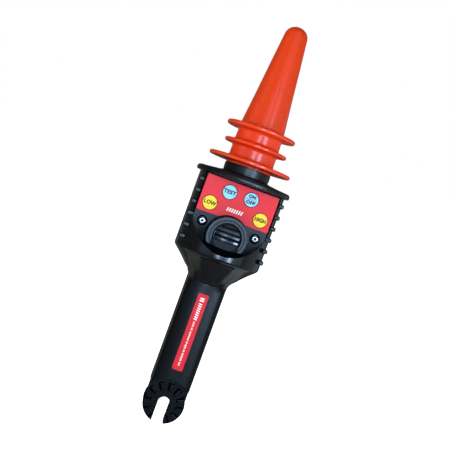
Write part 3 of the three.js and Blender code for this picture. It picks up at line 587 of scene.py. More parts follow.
solid = loft(outer)
hollow = loft(inner)
cavity = cut(copy(hollow), prism_y(u_outline(POCKET_R + 2, 216), -60, POCKET_Y + 2))
shell = cut(copy(solid), cavity, prism_y(u_outline(POCKET_R, 215, 72), -60, POCKET_Y), box(-29.6, 29.6, -25, -10, 152, 203.4))
bosses = None
for x, z in SHELL_SCREWS.values():
    col = common(bar_y(3.6, -18, 36, x, z, 32), bar_z(HEAD_R - 1.5, 139, HEAD_Z1, 0, 0, 96))
    cut(col, box(-29.6, 29.6, -25, -10, 152, 203.4))
    join(shell, col)
cut(shell, box(-15.2, 15.2, -60, -35.3, 135.5, 136.72))
for x, z in SHELL_SCREWS.values():
    cut(shell, bar_y(1.8, -13, 60, x, z, 24), bar_y(3.2, 15.5, 60, x, z, 32))
for z in FORK_SCREW_Z:
    cut(shell, bar_y(3.3, 14.6, 30, 0, z, 32), bar_y(1.8, 0, 30, 0, z, 24))
cut(shell, bar_y(STEP_R, -30, 30, 0, 0, 128))

front = common(copy(shell), box(-60, 60, -60, -0.12, -10, 260))
nubs = None
for z in NUB_Z:
    for s in (-1, 1):
        x0, x1 = (33.2, 39.4) if s > 0 else (-39.4, -33.2)
        xm = (x0 + x1) / 2
        secs = [(0.0, -16.4), (0.0, -21.0), (0.1, -21.5), (0.28, -21.85), (0.55, -22.12), (0.95, -22.3)]
        nub = loft([[(x, y, zz) for x, zz in [(xm + a, z + b) for a, b in round4(3.1 - d, -1.95 + d, 1.95 - d, max(0.3, 1.35 - d * 0.7), 6)]] for d, y in secs])
        cut(nub, prism_y(u_outline(P_R + 0.79, 215), -30, POCKET_Y))
        if s > 0 and z < 160:
            cut(nub, box(20, 35.3, -30, -10, z - 4, z + 4))
        nubs = nub if nubs is None else join(nubs, nub)
rear = common(shell, box(-60, 60, 0.12, 60, -10, 260))
cut(rear, box(-DOOR_W, DOOR_W, 6, 60, DOOR_Z0, DOOR_Z1))
join(rear, join(box(-4.5, 4.5, 31, 38.4, DOOR_Z1 + 0.1, 198.1), box(-4.5, 4.5, 31, 35.6, 187.4, 198.1)))
cut(rear, bar_y(1.8, 20, 38, 0, DOOR_SCREW_Z, 24))
seam_hollow = copy(hollow)
door = cut(copy(solid), hollow)
door = common(door, box(-DOOR_W + 0.3, DOOR_W - 0.3, 6, 60, DOOR_Z0 + 0.3, DOOR_Z1 - 0.3))
bpy.data.objects.remove(solid, do_unlink=True)
# thin seal in the parting line, set back from the surface, so the seam reads as a line and nothing shows through it
seam = loft([section(z, 0.6, facet=False) for z in Z_LOW + [137.4, 138.2, 139.0, 139.8, 140.9, 146, 160, 176, 192, 206.6]])
common(seam, box(-60, 60, -0.119, 0.119, 6.5, 206.4))
cut(seam, seam_hollow, bar_y(STEP_R + 0.1, -30, 30, 0, 0, 128))

piece(front, "front_shell", "tester", BLACK, ["front_housing"], width=0.45)
piece(rear, "rear_shell", "tester", BLACK, ["rear_housing"], width=0.45)

piece(nubs, "grip_nubs", "tester", NUB_M, width=0.0)
piece(seam, "seam_seal", "tester", RUBBER, width=0.0)

# battery door with finger ridges and its captive screw
join(door, common(bar_y(4.2, 36.0, 38.6, 0, DOOR_SCREW_Z, 40), box(-10, 10, 30, 60, DOOR_Z0 + 0.3, DOOR_Z1 - 0.3)))
cut(door, bar_y(3.1, 37.4, 50, 0, DOOR_SCREW_Z, 40), bar_y(1.8, 30, 50, 0, DOOR_SCREW_Z, 24))
for i in range(4):
    cut(door, box(-8, 8, 38.5, 50, 156 + i * 3.2, 157.6 + i * 3.2))
piece(door, "door_cover", "battery_door", BLACK, ["battery_door"], width=0.35)
ds = join(bar_y(2.7, 37.75, 39.5, 0, DOOR_SCREW_Z, 40), bar_y(1.4, 32.2, 38, 0, DOOR_SCREW_Z, 24))
cut(ds, box(-2, 2, 38.8, 45, DOOR_SCREW_Z - 0.42, DOOR_SCREW_Z + 0.42))
piece(ds, "door_screw", "battery_door", STEEL, ["battery_door_screw"], width=0.18, segs=2)

# ------------------------------------------------------------------ control plate, hood, grille
outl = [(-P_HALF, P_TOP)]
for x, z in arc(0, POCKET_CZ, P_R + 0.78, math.pi, 2 * math.pi, 96):
    if abs(x) <= P_HALF:
        outl.append((x, z))
outl.append((P_HALF, P_TOP))
plate = prism_y(outl, P_FRONT, P_BACK)
dish = [(-22.0, 172.0), (-21.98, 167.5), (-21.93, 164.5), (-21.8, 161.0), (-21.55, 157.0), (-21.2, 153.0), (-20.75, 149.0), (-20.25, 145.0), (-19.85, 142.0), (-40.0, 142.0), (-40.0, 172.0)]
cut(plate, loft([[(x, y, z) for y, z in dish] for x in (-60, 60)]))
for s in (-1, 1):
    join(plate, bar_y(6.2, P_FRONT - 1.2, P_FRONT + 0.5, s * SCREW_X, SCREW_Z, 64), bar_y(4.4, P_FRONT + 1, -14.6, s * SCREW_X, SCREW_Z, 32))
    cut(plate, bar_y(4.9, P_FRONT - 3, P_FRONT + 0.4, s * SCREW_X, SCREW_Z, 64), bar_y(1.9, -30, -12, s * SCREW_X, SCREW_Z, 24))
cut(plate, bar_y(12.2, -30, -15, 0, HOOD_CZ, 64))
for x, z in KEYS.values():
    cut(plate, bar_y(3.5, -30, -15, x, z, 32), bar_y(KEY_R + 0.35, -30, P_FRONT + 1.1, x, z, 64))
piece(plate, "panel_plate", "tester", PLATE_M, ["control_plate"], width=0.0)


def lobe(r, bottom, y0, y1, n=96):
    """Round plate closed below by a shallow arc."""
    zs = HOOD_CZ
    # the two circles meet at +-xi
    big = HOOD_BR - 18
    zc = bottom + big
    d = zc - zs
    h = (d * d + big * big - r * r) / (2 * d)
    zi = zc - h
    xi = math.sqrt(max(0.0, big * big - h * h))
    a0 = math.atan2(zi - zs, xi)
    top = arc(0, zs, r, a0, math.pi - a0, n)
    b0 = math.atan2(zi - zc, -xi)
    b1 = math.atan2(zi - zc, xi)
    low = arc(0, zc, big, b0, b1, 16)[1:-1]
    return prism_y(top + low, y0, y1)


def arch(r, y0, y1, low=130.0):
    """Round-topped outline carried straight down."""
    return prism_y([(r, low)] + arc(0, HOOD_CZ, r, -0.18, math.pi + 0.18, 96) + [(-r, low)], y0, y1)


hood_profile = [(0, 22.3), (18.15, 22.3), (18.15, 33.35), (18.08, 33.55), (17.93, 33.67), (17.7, 33.72), (15.6, 33.74), (15.4, 33.62), (15.28, 33.1),
                (15.18, 32.8), (14.98, 32.8), (14.88, 33.1), (14.8, 33.75), (14.68, 33.92), (14.45, 34.0), (13.4, 34.0), (13.1, 33.94), (12.85, 33.76), (12.6, 33.4), (0, 33.4)]
hood = common(lathe(hood_profile, 160, "Y", (0, 0, HOOD_CZ)), lobe(HOOD_R + 0.3, HOOD_B, -50, -10))
cut(hood, arch(HOOD_IN, -50, -10))
cut(hood, bar_y(6.6, -40, -10, -SCREW_X, SCREW_Z, 48), bar_y(6.6, -40, -10, SCREW_X, SCREW_Z, 48))
piece(hood, "sounder_hood", "tester", GRILLE_M, ["grille_hood"], width=0.0)
# painted shade: a dark, dull sheet lining the deep slot below the hood
shade_sheet = common(bar_y(P_R + 0.6, -21.3, -19.3, 0, POCKET_CZ, 160), box(-26, 26, -30, -10, 140, 149.3))
piece(shade_sheet, "slot_shade_sheet", "tester", SHADE_SHEET, width=0.1, segs=2)

G_IN, G_R = HOOD_IN - 0.2, 45.0


def insert(y0, y1, extra=0.0):
    return common(lobe(HOOD_R, HOOD_B + 0.15, y0, y1), arch(G_IN - extra, y0 - 1, y1 + 1))


grille = insert(-31.0, -27.5)
cut(grille, common(arch(G_IN - 0.9, -40, -10), box(-30, 30, -45, -5, 154.35, 190)))
band = common(insert(-32.4, -27.6, 0.3), box(-30, 30, -60, 0, 140, 154.1))
cut(band, loft([[(x, -40, 154.3), (x, -31.9, 154.3), (x, -32.25, 151.0), (x, -32.42, 147.0), (x, -40, 147.0)] for x in (-30, 30)]))
join(grille, band)
for i in range(4):
    z0 = 154.7 + i * 4.27
    # blade: tall, slightly barrelled face over a narrow dark gap, roof leaning back
    sec = [(-32.85, z0 + 0.02), (-33.12, z0 + 0.25), (-33.19, z0 + 0.65), (-33.22, z0 + 1.3), (-33.21, z0 + 1.9), (-33.14, z0 + 2.5), (-33.0, z0 + 3.0), (-32.75, z0 + 3.4), (-32.3, z0 + 3.72), (-31.5, z0 + 3.98),
           (-29.9, z0 + 4.5), (-28.6, z0 + 5.1), (-28.0, z0 + 4.6), (-29.6, z0 + 3.4), (-30.9, z0 + 2.0), (-31.7, z0 + 0.9), (-32.3, z0 + 0.2), (-32.6, z0 + 0.04)]
    xs = [-14 + 28 * k / 28 for k in range(29)]
    blade = loft([[(x, y + G_R - math.sqrt(G_R * G_R - x * x), z) for y, z in sec] for x in xs])
    rear_part = common(copy(blade), insert(-31.3, -27.2, 0.2))
    join(grille, join(common(blade, insert(-34.5, -27.2, 1.25)), rear_part))
piece(grille, "grille_slats", "tester", SLAT_M, ["louvre_grille"], width=0.0)


# ------------------------------------------------------------------ overlay, keys, legends


F_FACE = P_FRONT - 0.8
film = cut(prism_y(round4(33.1, 173.8, 206.0, 1.3), F_FACE, P_FRONT - 0.3), bar_y(19.2, -40, 0, 0, HOOD_CZ, 128))
for x, z in KEYS.values():
    cut(film, bar_y(KEY_R + 0.3, -40, 0, x, z, 64))
piece(film, "panel_film", "tester", RED_FILM, ["panel_overlay"], width=0.12, segs=2)

for key, (kx, kz) in KEYS.items():
    cap = lathe([(0, 0), (3.0, 0), (3.0, 1.9), (3.1, 2.0), (KEY_R - 0.1, 2.0), (KEY_R, 2.1), (KEY_R, 3.15), (KEY_R - 0.12, 3.32), (KEY_R - 0.5, 3.42), (4.5, 3.44), (2.2, 3.45), (0, 3.45)],
                96, "Y", (kx, -19.97, kz))
    # stem end 20.5 behind, face 23.42 in front
    for v in cap.data.vertices:
        v.co.y = -20.5 * MM + (v.co.y + 19.97 * MM) * (2.92 / 3.45)
    piece(cap, "cap_" + key, key, KEY_MATS[key], [key], clean=False)

KEY_FACE = -23.42


def legend(text, key, dx, dz, size, mat, wide=1.0):
    cu = bpy.data.curves.new("t", "FONT")
    cu.body, cu.size, cu.align_x, cu.align_y, cu.extrude = text, size * MM, "CENTER", "CENTER", 0.03 * MM
    cu.offset = 0.2 * MM
    cu.space_character = 1.05
    cu.resolution_u = 6
    ob = bpy.data.objects.new("t", cu)
    scene.collection.objects.link(ob)
    bpy.context.view_layer.update()
    me = bpy.data.meshes.new_from_object(ob.evaluated_get(bpy.context.evaluated_depsgraph_get()))
    bpy.data.objects.remove(ob, do_unlink=True)
    x, z = KEYS[key]
    me.transform(Matrix.Translation(((x + dx) * MM, (KEY_FACE - 0.01) * MM, (z + dz) * MM)) @ Matrix.Rotation(math.pi / 2, 4, "X") @ Matrix.Diagonal((wide, 1, 1, 1)))
    return me


def flat_piece(me, name, body, mat):
    ob = bpy.data.objects.new(name, me)
    scene.collection.objects.link(ob)
    me.materials.clear()
    me.materials.append(mat)
    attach(ob, body)
    return ob


flat_piece(legend("TEST", "key_test", 0, 0, 4.6, NAVY_INK, 1.06), "legend_test", "key_test", NAVY_INK)
flat_piece(legend("ON", "key_on_off", 0, 2.6, 3.9, NAVY_INK, 1.0), "legend_on", "key_on_off", NAVY_INK)
flat_piece(legend("OFF", "key_on_off", 0, -2.6, 3.9, NAVY_INK, 1.14), "legend_off", "key_on_off", NAVY_INK)
flat_piece(legend("LOW", "key_low", 0, 0, 4.6, OLIVE_INK, 0.98), "legend_low", "key_low", OLIVE_INK)
flat_piece(legend("HIGH", "key_high", 0, 0, 4.6, OLIVE_INK, 0.91), "legend_high", "key_high", OLIVE_INK)


def marks(name, body, mat, bars, y0, y1):
    """Plain printed bars and rings, one piece."""
    base = None
    for b in bars:
        o = prism_y(b, y0, y1)
        base = o if base is None else join(base, o)
    return piece(base, name, body, mat, clean=False)


kx, kz = KEYS["key_on_off"]
marks("legend_rule", "key_on_off", NAVY_INK, [round4(4.9, -0.18, 0.18, 0.1, 2)], KEY_FACE - 0.04, KEY_FACE + 0.02)
for v in bpy.data.objects["legend_rule"].data.vertices:
    v.co.x += kx * MM
    v.co.z += kz * MM

# plain slanted mark on the panel, where the real one carries a printed name
sl = []
for i in range(7):
    x0 = -7.5 + i * 2.15
    sl.append([(x0 + dx + 0.22 * (zz - 182.3), zz) for dx, zz in ((0, 180.6), (1.3, 180.6), (1.3, 184.1), (0, 184.1))])
marks("panel_mark", "tester", WHITE_INK, sl, F_FACE - 0.04, F_FACE + 0.02)

# ------------------------------------------------------------------ screws
for name, s in (("plate_screw_left", -1), ("plate_screw_right", 1)):
    bolt_m = shader("bright_steel_" + name, (0.42, 0.43, 0.46), 0.27, grain=2600, bump=0.006, vary=0.05, rvary=0.06, metal=1.0)
    # painted shade: the middle of the screw head, over the hex socket, is coloured near black
    ring_print_and_shade(bolt_m, (s * SCREW_X, SCREW_Z), 1.5, 1.3, (0.010, 0.012, 0.014))
    sc = lathe([(0, 0), (1.3, 0), (1.5, 0.4), (1.5, 8.3), (3.55, 8.3), (3.65, 8.4), (3.65, 9.4), (3.5, 9.9), (3.2, 10.3), (2.7, 10.6), (2.1, 10.8), (1.6, 10.88), (0, 10.88)], 64, "Y", (s * SCREW_X, -13.6, SCREW_Z))
    cut(sc, prism_y(arc(s * SCREW_X, SCREW_Z, 1.4, 0, 2 * math.pi, 6)[:-1], -26, -23.2))
    piece(sc, "bolt_" + name, "tester", bolt_m, [name], width=0.0)
for name, (x, z) in SHELL_SCREWS.items():
    sc = join(bar_y(2.8, 15.9, 18.4, x, z, 40), bar_y(1.4, -12, 16.2, x, z, 24))
    cut(sc, prism_y(arc(x, z, 1.3, 0, 2 * math.pi, 6)[:-1], 17.0, 22))
    piece(sc, "bolt_" + name, "tester", STEEL, [name], width=0.25, segs=2)
for name, z in zip(("fork_screw_lower", "fork_screw_upper"), FORK_SCREW_Z):
    sc = join(bar_y(2.9, 14.9, 15.9, 0, z, 40), bar_y(1.4, -8.8, 15.2, 0, z, 24))
    cut(sc, box(-2, 2, 15.5, 20, z - 0.4, z + 0.4))
    piece(sc, "bolt_" + name, "tester", STEEL, [name], width=0.15, segs=2)


# ------------------------------------------------------------------ neck and cone
def soft(points, step=0.6):
    """Rounds each inner corner of an open profile that carries a radius: points are (r, z) or (r, z, radius)."""
    out = [points[0][:2]]
    for a, b, c in zip(points[:-2], points[1:-1], points[2:]):
        rad = b[2] if len(b) > 2 else 0
        if not rad:
            out.append(b[:2])
            continue
        pa, pb, pc = np.array(a[:2], float), np.array(b[:2], float), np.array(c[:2], float)
        u, v = pa - pb, pc - pb
        lu, lv = np.linalg.norm(u), np.linalg.norm(v)
        u, v = u / lu, v / lv
        ang = math.acos(max(-1, min(1, float(u @ v))))
        t = min(rad / math.tan(ang / 2), lu * 0.49, lv * 0.49)
        r = t * math.tan(ang / 2)
        n = max(3, int((math.pi - ang) / math.radians(14)))
        bis = (u + v) / np.linalg.norm(u + v)
        cen = pb + bis * (r / math.sin(ang / 2))
        s0, s1 = pb + u * t - cen, pb + v * t - cen
        a0, a1 = math.atan2(s0[1], s0[0]), math.atan2(s1[1], s1[0])
        d = (a1 - a0 + math.pi) % (2 * math.pi) - math.pi
        out += [(float(cen[0] + r * math.cos(a0 + d * i / n)), float(cen[1] + r * math.sin(a0 + d * i / n))) for i in range(n + 1)]
    out.append(points[-1][:2])
    return out


neck_profile = soft([
    (14, 203.6), (36.6, 203.6, 0.4), (36.6, 207.5, 0.2), (41.4, 207.5), (43.9, 207.5, 2.35), (43.9, 212.1, 2.35), (33.0, 213.1, 12), (24.2, 214.2, 0.8), (22.2, 214.7, 0.4), (21.1, 215.2, 0.3),
    (21.1, 216.1, 0.2), (21.5, 216.3, 0.2), (21.5, 222, 0.3), (18.2, 222, 0.2), (18.2, 227.4), (17.0, 227.4), (17.0, 230.0), (18.2, 230.0), (18.2, 238, 0.4), (14, 238, 0.3), (14, 237),
])
neck = lathe(neck_profile, 160)
cut(neck, box(-60, 60, -60, -13.4, 200, 207.5))
for x, z in SHELL_SCREWS.values():
    if z > 190:
        cut(neck, box(x - 4.4, x + 4.4, -30, 45, 200, 207.5))
piece(neck, "neck_guard", "tester", NECK_M, ["neck_flange"], width=0.0)
piece(lathe([(17.7 + 0.55 * math.cos(a), 228.7 + 0.55 * math.sin(a)) for a in [2 * math.pi * i / 16 for i in range(16)]], 96), "neck_ring", "tester", RUBBER, ["neck_seal"], clean=False)


def shed(r, z, root, t):
    h = t / 2
    return [(root, z - h * 1.45, 2.4), (r - 2.2, z - h, 4), (r, z - h * 0.9, 1.2), (r, z + h * 0.9, 1.2), (r - 2.2, z + h, 4), (root, z + h * 1.45, 2.4)]


outer_c = [(18.5, 222.3), (21.15, 222.3, 0.35), (21.15, 223.2)]
outer_c += shed(38.1, 226.2, 20.95, 3.4)
outer_c += [(20.85, 235.0)] + shed(29.1, 241.9, 20.8, 3.2) + [(20.65, 249.5)] + shed(32.0, 257.1, 20.3, 3.6)
outer_c += [(19.95, 264.0), (17.0, 289.4), (13.25, 325.3), (10.78, 347.4)]
n_dome = 14
tip = []
for i in range(1, n_dome + 1):
    a = i / n_dome * math.pi / 2
    tip.append((10.78 * math.cos(a) ** 0.95, 347.4 + 9.9 * math.sin(a)))
tip[-1] = (0.0, 357.3)
prof_out = soft(outer_c) + tip
prof_in = [(0, 354.6), (4.2, 353.9), (6.6, 352.0), (8.4, 347), (11.2, 322), (14.8, 289.4), (17.4, 258), (18.5, 240), (18.5, 224)]
cone = lathe(prof_in + prof_out, 160)
piece(cone, "cone_shell", "tester", ORANGE, ["cone_cover"], clean=False)

piece(lathe(soft([(0, 238.35), (16.6, 238.35, 0.3), (16.6, 240.6, 0.6), (5.6, 240.6, 0.5), (5.6, 246, 0.6), (4.2, 247, 0.3), (4.2, 336, 0.8), (0, 336)]), 64), "antenna_core", "tester", NATURAL, ["antenna_former"], clean=False)
piece(lathe(soft([(4.6, 250), (4.6, 248, 0.2), (7.2, 248, 0.2), (6.2, 330, 0.2), (4.6, 330, 0.2), (4.6, 260)]), 64), "antenna_tube", "tester", BRASS, ["antenna_sleeve"], clean=False)

# ------------------------------------------------------------------ spline fork
fork = join(bar_y(DISC_R, -PLATE_T, PLATE_T, 0, 0, 144), common(box(-NECK_W, NECK_W, -PLATE_T, PLATE_T, 0, 26), bar_y(STEP_R - 0.85, -20, 20, 0, 0, 144)))


def sector(r0, r1, b0, b1, y0, y1):
    o = [(r1 * math.sin(b0 + (b1 - b0) * i / 8), r1 * math.cos(b0 + (b1 - b0) * i / 8)) for i in range(9)]
    n_ = [(r0 * math.sin(b1 + (b0 - b1) * i / 8), r0 * math.cos(b1 + (b0 - b1) * i / 8)) for i in range(9)]
    return prism_y(o + n_, y0, y1)


tang = cut(prism_z([(x, y) for x, y in round4(TANG_W, -TANG_D, TANG_D, 2.2)], 12.3, TANG_TOP), bar_y(STEP_R + 0.9, -20, -PLATE_T + 0.013, 0, 0, 144), bar_y(STEP_R + 0.9, PLATE_T - 0.013, 20, 0, 0, 144))
join(fork, tang)
for lo, hi in ((-PLATE_T - 3, -PLATE_T + 1.7), (PLATE_T - 1.7, PLATE_T + 3)):  # shadow gap under the handle's end
    gap = common(cut(bar_y(STEP_R + 0.87, lo, hi, 0, 0, 144), bar_y(STEP_R - 0.9, lo - 1, hi + 1, 0, 0, 144)), box(-13.9, 13.9, -20, 20, 10, 40))
    cut(fork, gap)
for side in (-1, 1):  # a narrow relief along the driving flank and the crown of each tooth
    for k in range(12):
        a0 = math.radians(k * 30)
        a1 = a0 + math.radians(TOOTH_DEG)
        lo, hi = (-PLATE_T - 3, -PLATE_T + 2.2) if side < 0 else (PLATE_T - 2.2, PLATE_T + 3)
        cut(fork, sector(TOOTH_R0 - 0.7, TOOTH_R1 + 0.75, a0 - 0.085, a1 - 0.03, lo, hi))
for k in range(12):
    a0 = math.radians(k * 30)
    a1 = a0 + math.radians(TOOTH_DEG)
    def tooth(e, y):
        o = [((TOOTH_R1 - e) * math.sin(b), y, (TOOTH_R1 - e) * math.cos(b)) for b in [a0 + (0.25 + e) / 15 + (a1 - a0 - (0.25 + 1.3 * e) / 15) * i / 8 for i in range(9)]]
        q = [((TOOTH_R0 + e) * math.sin(b), y, (TOOTH_R0 + e) * math.cos(b)) for b in [a1 - 0.3 * e / 15 - (a1 - a0 - (0.25 + 1.3 * e) / 15) * i / 8 for i in range(9)]]
        return o + q
    join(fork, loft([tooth(0.55, -PLATE_T - TOOTH_H), tooth(0.3, -PLATE_T - TOOTH_H + 0.15), tooth(0, -PLATE_T + 2.3), tooth(0, PLATE_T - 2.3), tooth(0.3, PLATE_T + TOOTH_H - 0.15), tooth(0.55, PLATE_T + TOOTH_H)]))
cut(fork, prism_y([(-SLOT_W / 2, -30), (SLOT_W / 2, -30)] + arc(0, 0, SLOT_W / 2, 0, math.pi, 40), -20, 20))
for z in FORK_SCREW_Z:
    cut(fork, bar_y(1.8, -9.5, 30, 0, z, 24))
cut(fork, box(-9, 9, -20, -9.8, 29, 54), box(-60, 60, -3, 3, 56, 70))
piece(fork, "fork_end", "tester", FORK_M, ["spline_fork"], width=0.0, flat=0.15)

# handle label, bent to the crown, with plain dashes in place of print
L0, L1 = -HD - 0.7, -HD - 0.3


def bend(ob):
    for v in ob.data.vertices:
        v.co.y += (v.co.x / MM) ** 2 / 96.0 * MM
    return ob


def strips(outline_fn, cols):
    return [outline_fn(x0, x1) for x0, x1 in zip(cols[:-1], cols[1:])]


label = prism_y(round4(4.85, 33.9, 104.6, 1.4), L0, L1)
lab = None
for k in range(9):
    x0, x1 = -5.0 + 10.0 * k / 9, -5.0 + 10.0 * (k + 1) / 9
    part = common(copy(label), box(x0, x1, -20, -10, 30, 110))
    lab = part if lab is None else join(lab, part)
bpy.data.objects.remove(label, do_unlink=True)
piece(bend(lab), "grip_label", "tester", LABEL_RED, ["handle_label"], width=0.0, flat=0)
bars = [round4(1.9, 99.9, 101.2, 0.3, 3), round4(1.9, 97.9, 99.2, 0.3, 3)]
z = 96.2
for k in range(8):  # slanted strokes
    bars.append([(-1.45, z), (1.45, z - 0.55), (1.45, z - 1.6), (-1.45, z - 1.05)])
    z -= 2.0
z -= 1.0
for ln in (6, 3.2, 9.5, 2.6, 5, 3.2, 8.2, 4.4):
    n = max(2, int(ln / 1.15))
    for q in range(n):
        zq = z - q * (ln - 0.8) / n
        bars.append([(-0.72, zq), (0.72, zq - 0.16), (0.72, zq - 0.74), (-0.72, zq - 0.58)])
    z -= ln
bend(marks("grip_label_marks", "tester", WHITE_INK, bars, L0 - 0.04, L0 + 0.02))

# ------------------------------------------------------------------ parts inside
for name, (x, y) in CELLS.items():
    up = name != "cell_front"
    prof = [(0, 0), (12.2, 0), (12.7, 0.15), (13.1, 0.8), (13.1, 47.0), (12.8, 47.7), (12.2, 48.0), (11.4, 47.7), (4.2, 47.6), (3.3, 47.9), (3.1, 48.3), (3.1, 49.1), (2.9, 49.3), (0, 49.3)]
    c = lathe(prof, 96, "Z", (x, y, CELL_Z0 if up else CELL_Z1), flip=not up)
    c.data.materials.append(CELL_M)
    c.data.materials.append(STEEL)
    piece(c, "battery_" + name, "tester", CELL_M, [name], clean=False)
    c.data.materials.append(STEEL)
    for p in c.data.polygons:
        h = (p.center.z / MM - CELL_Z0) if up else (CELL_Z1 - p.center.z / MM)
        p.material_index = 1 if h < 0.5 or h > 47.4 else 0


def disc_y(name, r, y0, y1, x, z, mat, slot, new):
    return piece(bar_y(r, y0, y1, x, z, 40), new, "tester", mat, [name], width=0.15, segs=2)


for key, (x, z) in KEYS.items():
    short = key.replace("key_", "")
    piece(lathe([(0, 0), (2.9, 0), (2.9, 0.12), (2.2, 0.3), (1.8, 0.62), (0, 0.7)], 48, "Y", (x, -19.05, z)), "dome_" + short, "tester", STEEL, ["switch_dome_" + short], clean=False)
board = prism_y(round4(28.8, 152.6, 202.8, 1.5), -18.95, -17.35)
for s in (-1, 1):
    cut(board, bar_y(4.8, -30, 0, s * SCREW_X, SCREW_Z, 40))
cut(board, bar_y(10.2, -30, 0, 0, HOOD_CZ, 64))
piece(board, "main_board", "tester", BOARD, ["circuit_board"], width=0.1, segs=1)
piece(box(-3.6, 3.6, -19.75, -19.05, 183.6, 190.8), "control_chip", "tester", RUBBER, ["controller_chip"], width=0.15, segs=2)
piece(lathe(soft([(0, 0), (8.0, 0, 0.3), (8.0, 6.5, 0.5), (1.6, 6.5, 0.2), (1.6, 5.3), (0, 5.3)]), 64, "Y", (0, -19.4, HOOD_CZ)), "buzzer", "tester", RUBBER, ["sounder"], clean=False)
for s, side in ((-1, "left"), (1, "right")):
    lp = [(0, 0), (1.5, 0), (1.5, 3.2)] + [(1.5 * math.cos(a), 3.2 + 1.5 * math.sin(a)) for a in [math.pi / 2 * i / 8 for i in range(1, 8)]] + [(0, 4.7)]
    piece(lathe(lp, 40, "Y", (s * 10.4, -22.4, HOOD_CZ + 0.2)), "lamp_" + side, "tester", LED, ["warning_led_" + side], clean=False)


def contact_outline(r):
    a = math.asin(-16.9 / r)
    return arc(0, 0, r, a, math.pi - a, 96)


for name, r, z0, z1 in (("contact_board_top", 36.6, 198.4, 199.9), ("contact_board_bottom", 36.0, 144.6, 146.1)):
    o = common(prism_z(contact_outline(r), z0, z1), box(-28.2, 28.2, -60, 60, z0 - 5, z1 + 5))
    cut(o, bar_z(3, z0 - 5, z1 + 5, 0, 12, 32))
    piece(o, "plate_" + name, "tester", BOARD, [name], width=0.1, segs=1)


def wire_piece(points, radius, name, node, mat, sides=12):
    """A round wire through points, ends closed."""
    pts = [Vector(p) for p in points]
    rings, normal = [], None
    for i, p in enumerate(pts):
        t = (pts[min(i + 1, len(pts) - 1)] - pts[max(i - 1, 0)]).normalized()
        if normal is None:
            normal = t.orthogonal().normalized()
        normal = (normal - t * normal.dot(t)).normalized()
        b = t.cross(normal)
        rings.append([tuple(p + (normal * math.cos(a) + b * math.sin(a)) * radius) for a in [2 * math.pi * k / sides for k in range(sides)]])
    return piece(loft(rings), name, "tester", mat, [node], clean=False)


def coil_points(x, y, z0, z1, r0, r1, turns, n):
    return [(x + (r0 + (r1 - r0) * i / n) * math.cos(2 * math.pi * turns * i / n), y + (r0 + (r1 - r0) * i / n) * math.sin(2 * math.pi * turns * i / n), z0 + (z1 - z0) * i / n) for i in range(n + 1)]


wire_piece(coil_points(-13.4, 19.5, 146.95, 147.95, 6.5, 3, 1.5, 60), 0.4, "spring_left", "contact_spring_left", STEEL)
wire_piece(coil_points(13.4, 19.5, 146.95, 147.95, 6.5, 3, 1.5, 60), 0.4, "spring_right", "contact_spring_right", STEEL)
wire_piece(coil_points(0, -3.4, 197.55, 197.1, 6.5, 3, 1.5, 60), 0.25, "spring_front", "contact_spring_front", STEEL)


def catmull(pts, n=10):
    p = [np.array(q, float) for q in pts]
    p = [2 * p[0] - p[1]] + p + [2 * p[-1] - p[-2]]
    out = []
    for i in range(1, len(p) - 2):
        for k in range(n):
            t = k / n
            out.append(tuple(0.5 * (2 * p[i] + (p[i + 1] - p[i - 1]) * t + (2 * p[i - 1] - 5 * p[i] + 4 * p[i + 1] - p[i + 2]) * t * t + (3 * p[i] - p[i - 1] - 3 * p[i + 1] + p[i + 2]) * t ** 3)))
    out.append(tuple(p[-2]))
    return out


wire_piece(catmull([(0, 0, 237.9), (0, -1.2, 230), (0, -6, 217), (0, -11, 208), (0, -14.6, 203.4), (0, -16.4, 201.4)], 6), 0.55, "antenna_wire", "antenna_lead", RUBBER)

# ------------------------------------------------------------------ stage: pale floor, soft studio light, camera
floor = bpy.data.objects.new("floor", bpy.data.meshes.new("floor"))
scene.collection.objects.link(floor)
S, ZF = 30.0, -0.06
bm = bmesh.new()
vs = [bm.verts.new(c) for c in ((-S, -S, ZF), (S, -S, ZF), (S, S, ZF), (-S, S, ZF))]
bm.faces.new(vs)
bm.to_mesh(floor.data)
bm.free()
fm = bpy.data.materials.new("floor_pale")
fm.use_nodes = True
fb = next(n for n in fm.node_tree.nodes if n.type == "BSDF_PRINCIPLED")
fb.inputs["Base Color"].default_value = (0.9, 0.9, 0.9, 1)
fb.inputs["Roughness"].default_value = 0.9
fb.inputs["Emission Color"].default_value = (1, 1, 1, 1)
fb.inputs["Emission Strength"].default_value = 1.4
floor.data.materials.append(fm)
floor.visible_glossy = False
floor.visible_diffuse = False

world = bpy.data.worlds.new("studio")
scene.world = world
world.use_nodes = True
wn = world.node_tree
for n in list(wn.nodes):
    wn.nodes.remove(n)
wo = wn.nodes.new("ShaderNodeOutputWorld")
mix = wn.nodes.new("ShaderNodeMixShader")
lp = wn.nodes.new("ShaderNodeLightPath")
seen = wn.nodes.new("ShaderNodeBackground")
seen.inputs["Color"].default_value, seen.inputs["Strength"].default_value = (1, 1, 1, 1), 1.0
dim = wn.nodes.new("ShaderNodeBackground")
dim.inputs["Color"].default_value, dim.inputs["Strength"].default_value = (0.90, 0.95, 1.0, 1), 0.10
wn.links.new(lp.outputs["Is Camera Ray"], mix.inputs["Fac"])
wn.links.new(dim.outputs[0], mix.inputs[1])
wn.links.new(seen.outputs[0], mix.inputs[2])
wn.links.new(mix.outputs[0], wo.inputs["Surface"])


